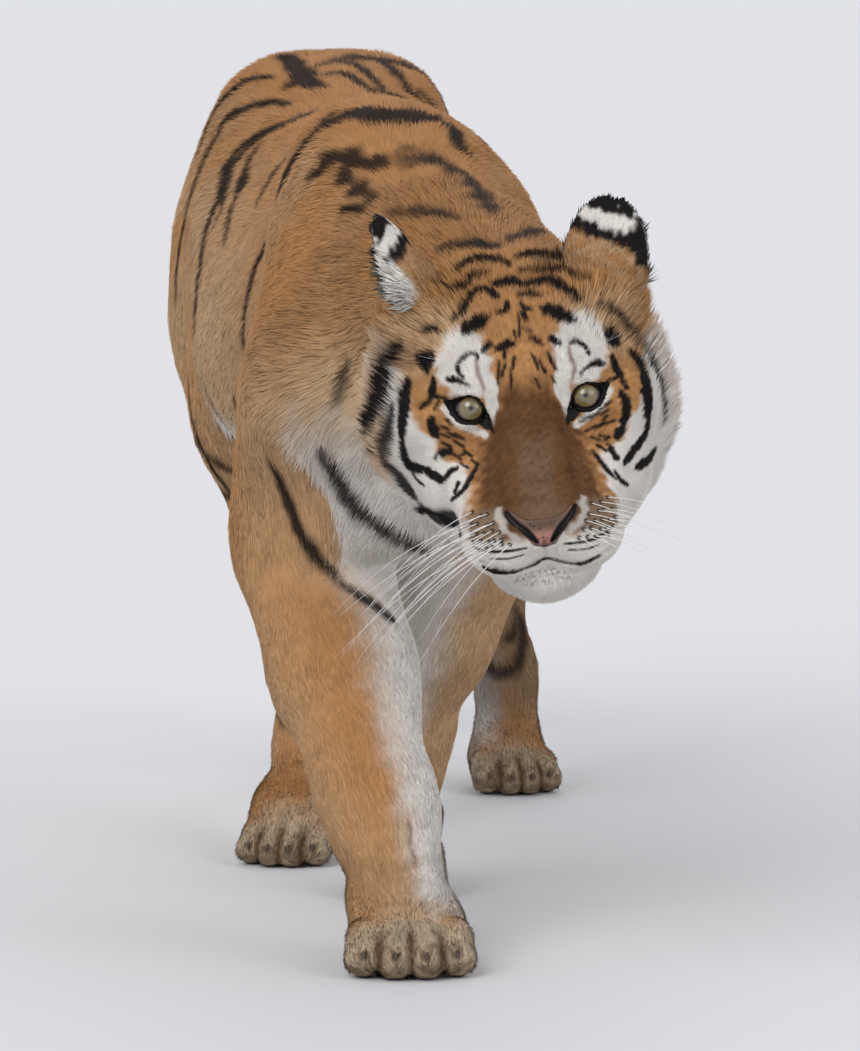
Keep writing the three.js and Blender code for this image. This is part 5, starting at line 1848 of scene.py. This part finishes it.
def whiskers():
    """Long curved hairs from the whisker pads' spots, and a few over each eye."""
    rng = np.random.default_rng(14)
    parts = []
    for root in marks.spots:
        s = math.copysign(1, root[0])
        out = abs(root[0]) / 76
        length = (70 + 105 * out) * rng.uniform(0.75, 1.1)
        start = unit([s * (0.55 + 0.5 * out), -0.55 + 0.75 * out, -0.25 + rng.uniform(-0.25, 0.15)])
        bend = np.array([s * 0.15, 0.35, -0.85]) * rng.uniform(0.25, 0.75)
        t = np.linspace(0, 1, 12)[:, None]
        droop = np.array([0, 0, -0.28 if s < 0 else -0.1])
        path = root + length * (1 if s < 0 else 0.42) * (start * t + (bend + droop) * t**2 * 0.7) - start * 3
        parts.append(tube(path, 0.5 * (1 - 0.8 * t[:, 0])))
    for s in (1, -1):
        for k in range(4):
            root = on_face([(s * (52 + 7 * k), 40 + 3 * k)], tree)[0]
            start = unit([s * (0.1 + 0.2 * k), -0.75, 0.65])
            t = np.linspace(0, 1, 10)[:, None]
            path = root + 42 * (start * t + np.array([s * 0.35, 0.5, -0.1]) * t**2)
            parts.append(tube(path, 0.25 * (1 - 0.8 * t[:, 0])))
    piece = mesh_object("whiskers", *stacked([(from_head(p), f) for p, f in parts]))
    layer = piece.data.uv_layers.new(name="OFBake")
    layer.data.foreach_set("uv", np.full(len(piece.data.loops) * 2, 0.004, np.float32))
    return piece


CLAW_LENGTH, CLAW_RADIUS = 6 * MM, 2.2 * MM  # of what shows of a drawn-in claw


def claws():
    """The claws' tips at the fronts of the toes, and the dewclaws, with the CAD nodes they stand for."""
    parts, nodes = [], []
    t = np.linspace(-0.6, 1, 9)[:, None]
    drop = np.array([0, 0, 0.35]) - np.array([0, 0, 0.75]) * np.clip(t, 0, 1) ** 2
    radii = CLAW_RADIUS * np.sqrt(np.clip(1.02 - np.clip(t[:, 0], 0, 1), 0.01, 1))
    for leg, paw in PAWS.items():
        places = {f"{leg}_claw_{i}": np.array(tip) for i, (_, tip) in enumerate(paw.toes(), 1)}
        places = {k: paw.back_from(tip + (0, 4 - paw.toe, 0.3 * paw.toe)) for k, tip in places.items()}
        if leg.startswith("front"):
            places[f"{leg}_dewclaw"] = middle(f"{leg}_dewclaw")
        nodes += list(places)
        parts += [tube(place + CLAW_LENGTH * (-paw.back * t + drop), radii, 10) for place in places.values()]
    return mesh_object("claws", *stacked(parts)), nodes


finish_piece(whiskers(), "coat", plain("whisker", (0.78, 0.76, 0.72), 0.35))
claw_piece, claw_nodes = claws()
finish_piece(claw_piece, "claw", plain("claw", (0.06, 0.048, 0.04), 0.45), *claw_nodes)

# ---- Camera, light and floor ----
AZIMUTH, ELEVATION, DISTANCE = math.radians(-5.4), math.radians(6.8), 9.4  # of the camera from its target
TARGET = np.array([-0.0061, -0.4654, 0.455])
LENS, SENSOR = 282.6, 36  # mm
LAMP_ANGLE = math.radians(38)  # how wide the lamps look, which softens their shadows
LAMPS = [  # place, and strength
    ("key", (-3.2, -4.5, 4.6), 1.45),
    ("fill", (4.2, -3.5, 3.0), 0.55),
    ("rear", (0.5, 5.0, 3.8), 0.9),
]
LIT = Vector((0, -0.2, 0.5))  # where the lamps point
FLOOR_HALF = 200


def place_camera():
    """The camera that sees the tiger as the photo does."""
    level = math.cos(ELEVATION)
    back = np.array([math.sin(AZIMUTH) * level, -math.cos(AZIMUTH) * level, math.sin(ELEVATION)])
    data = bpy.data.cameras.new("camera")
    data.sensor_fit = "VERTICAL"
    data.sensor_height = SENSOR
    data.lens = LENS
    data.clip_end = 60
    camera = bpy.data.objects.new("camera", data)
    bpy.context.scene.collection.objects.link(camera)
    camera.location = Vector(TARGET + back * DISTANCE)
    camera.rotation_euler = Vector(back).to_track_quat("Z", "Y").to_euler()
    bpy.context.scene.camera = camera


def place_lights():
    """Three soft lamps and an even sky."""
    for name, place, strength in LAMPS:
        lamp = bpy.data.lights.new(name, "SUN")
        lamp.energy = strength
        lamp.angle = LAMP_ANGLE
        light = bpy.data.objects.new(name, lamp)
        light.location = place
        light.rotation_euler = (Vector(place) - LIT).to_track_quat("Z", "Y").to_euler()
        bpy.context.scene.collection.objects.link(light)
    world = bpy.data.worlds.new("world")
    world.use_nodes = True
    background = world.node_tree.nodes["Background"]
    background.inputs["Color"].default_value = (0.93, 0.95, 1.0, 1)
    background.inputs["Strength"].default_value = 0.74
    bpy.context.scene.world = world
    bpy.context.scene.view_settings.view_transform = "Standard"


def place_floor():
    """A wide pale floor, which is staging and no part of the model."""
    corners = [(-1, -1, 0), (1, -1, 0), (1, 1, 0), (-1, 1, 0)]
    floor = mesh_object("floor", np.array(corners) * float(FLOOR_HALF), np.array([[0, 1, 2, 3]]))
    floor.data.materials.append(plain("floor", (0.63, 0.63, 0.64), 0.9, specular=0.0))


place_camera()
place_lights()
place_floor()
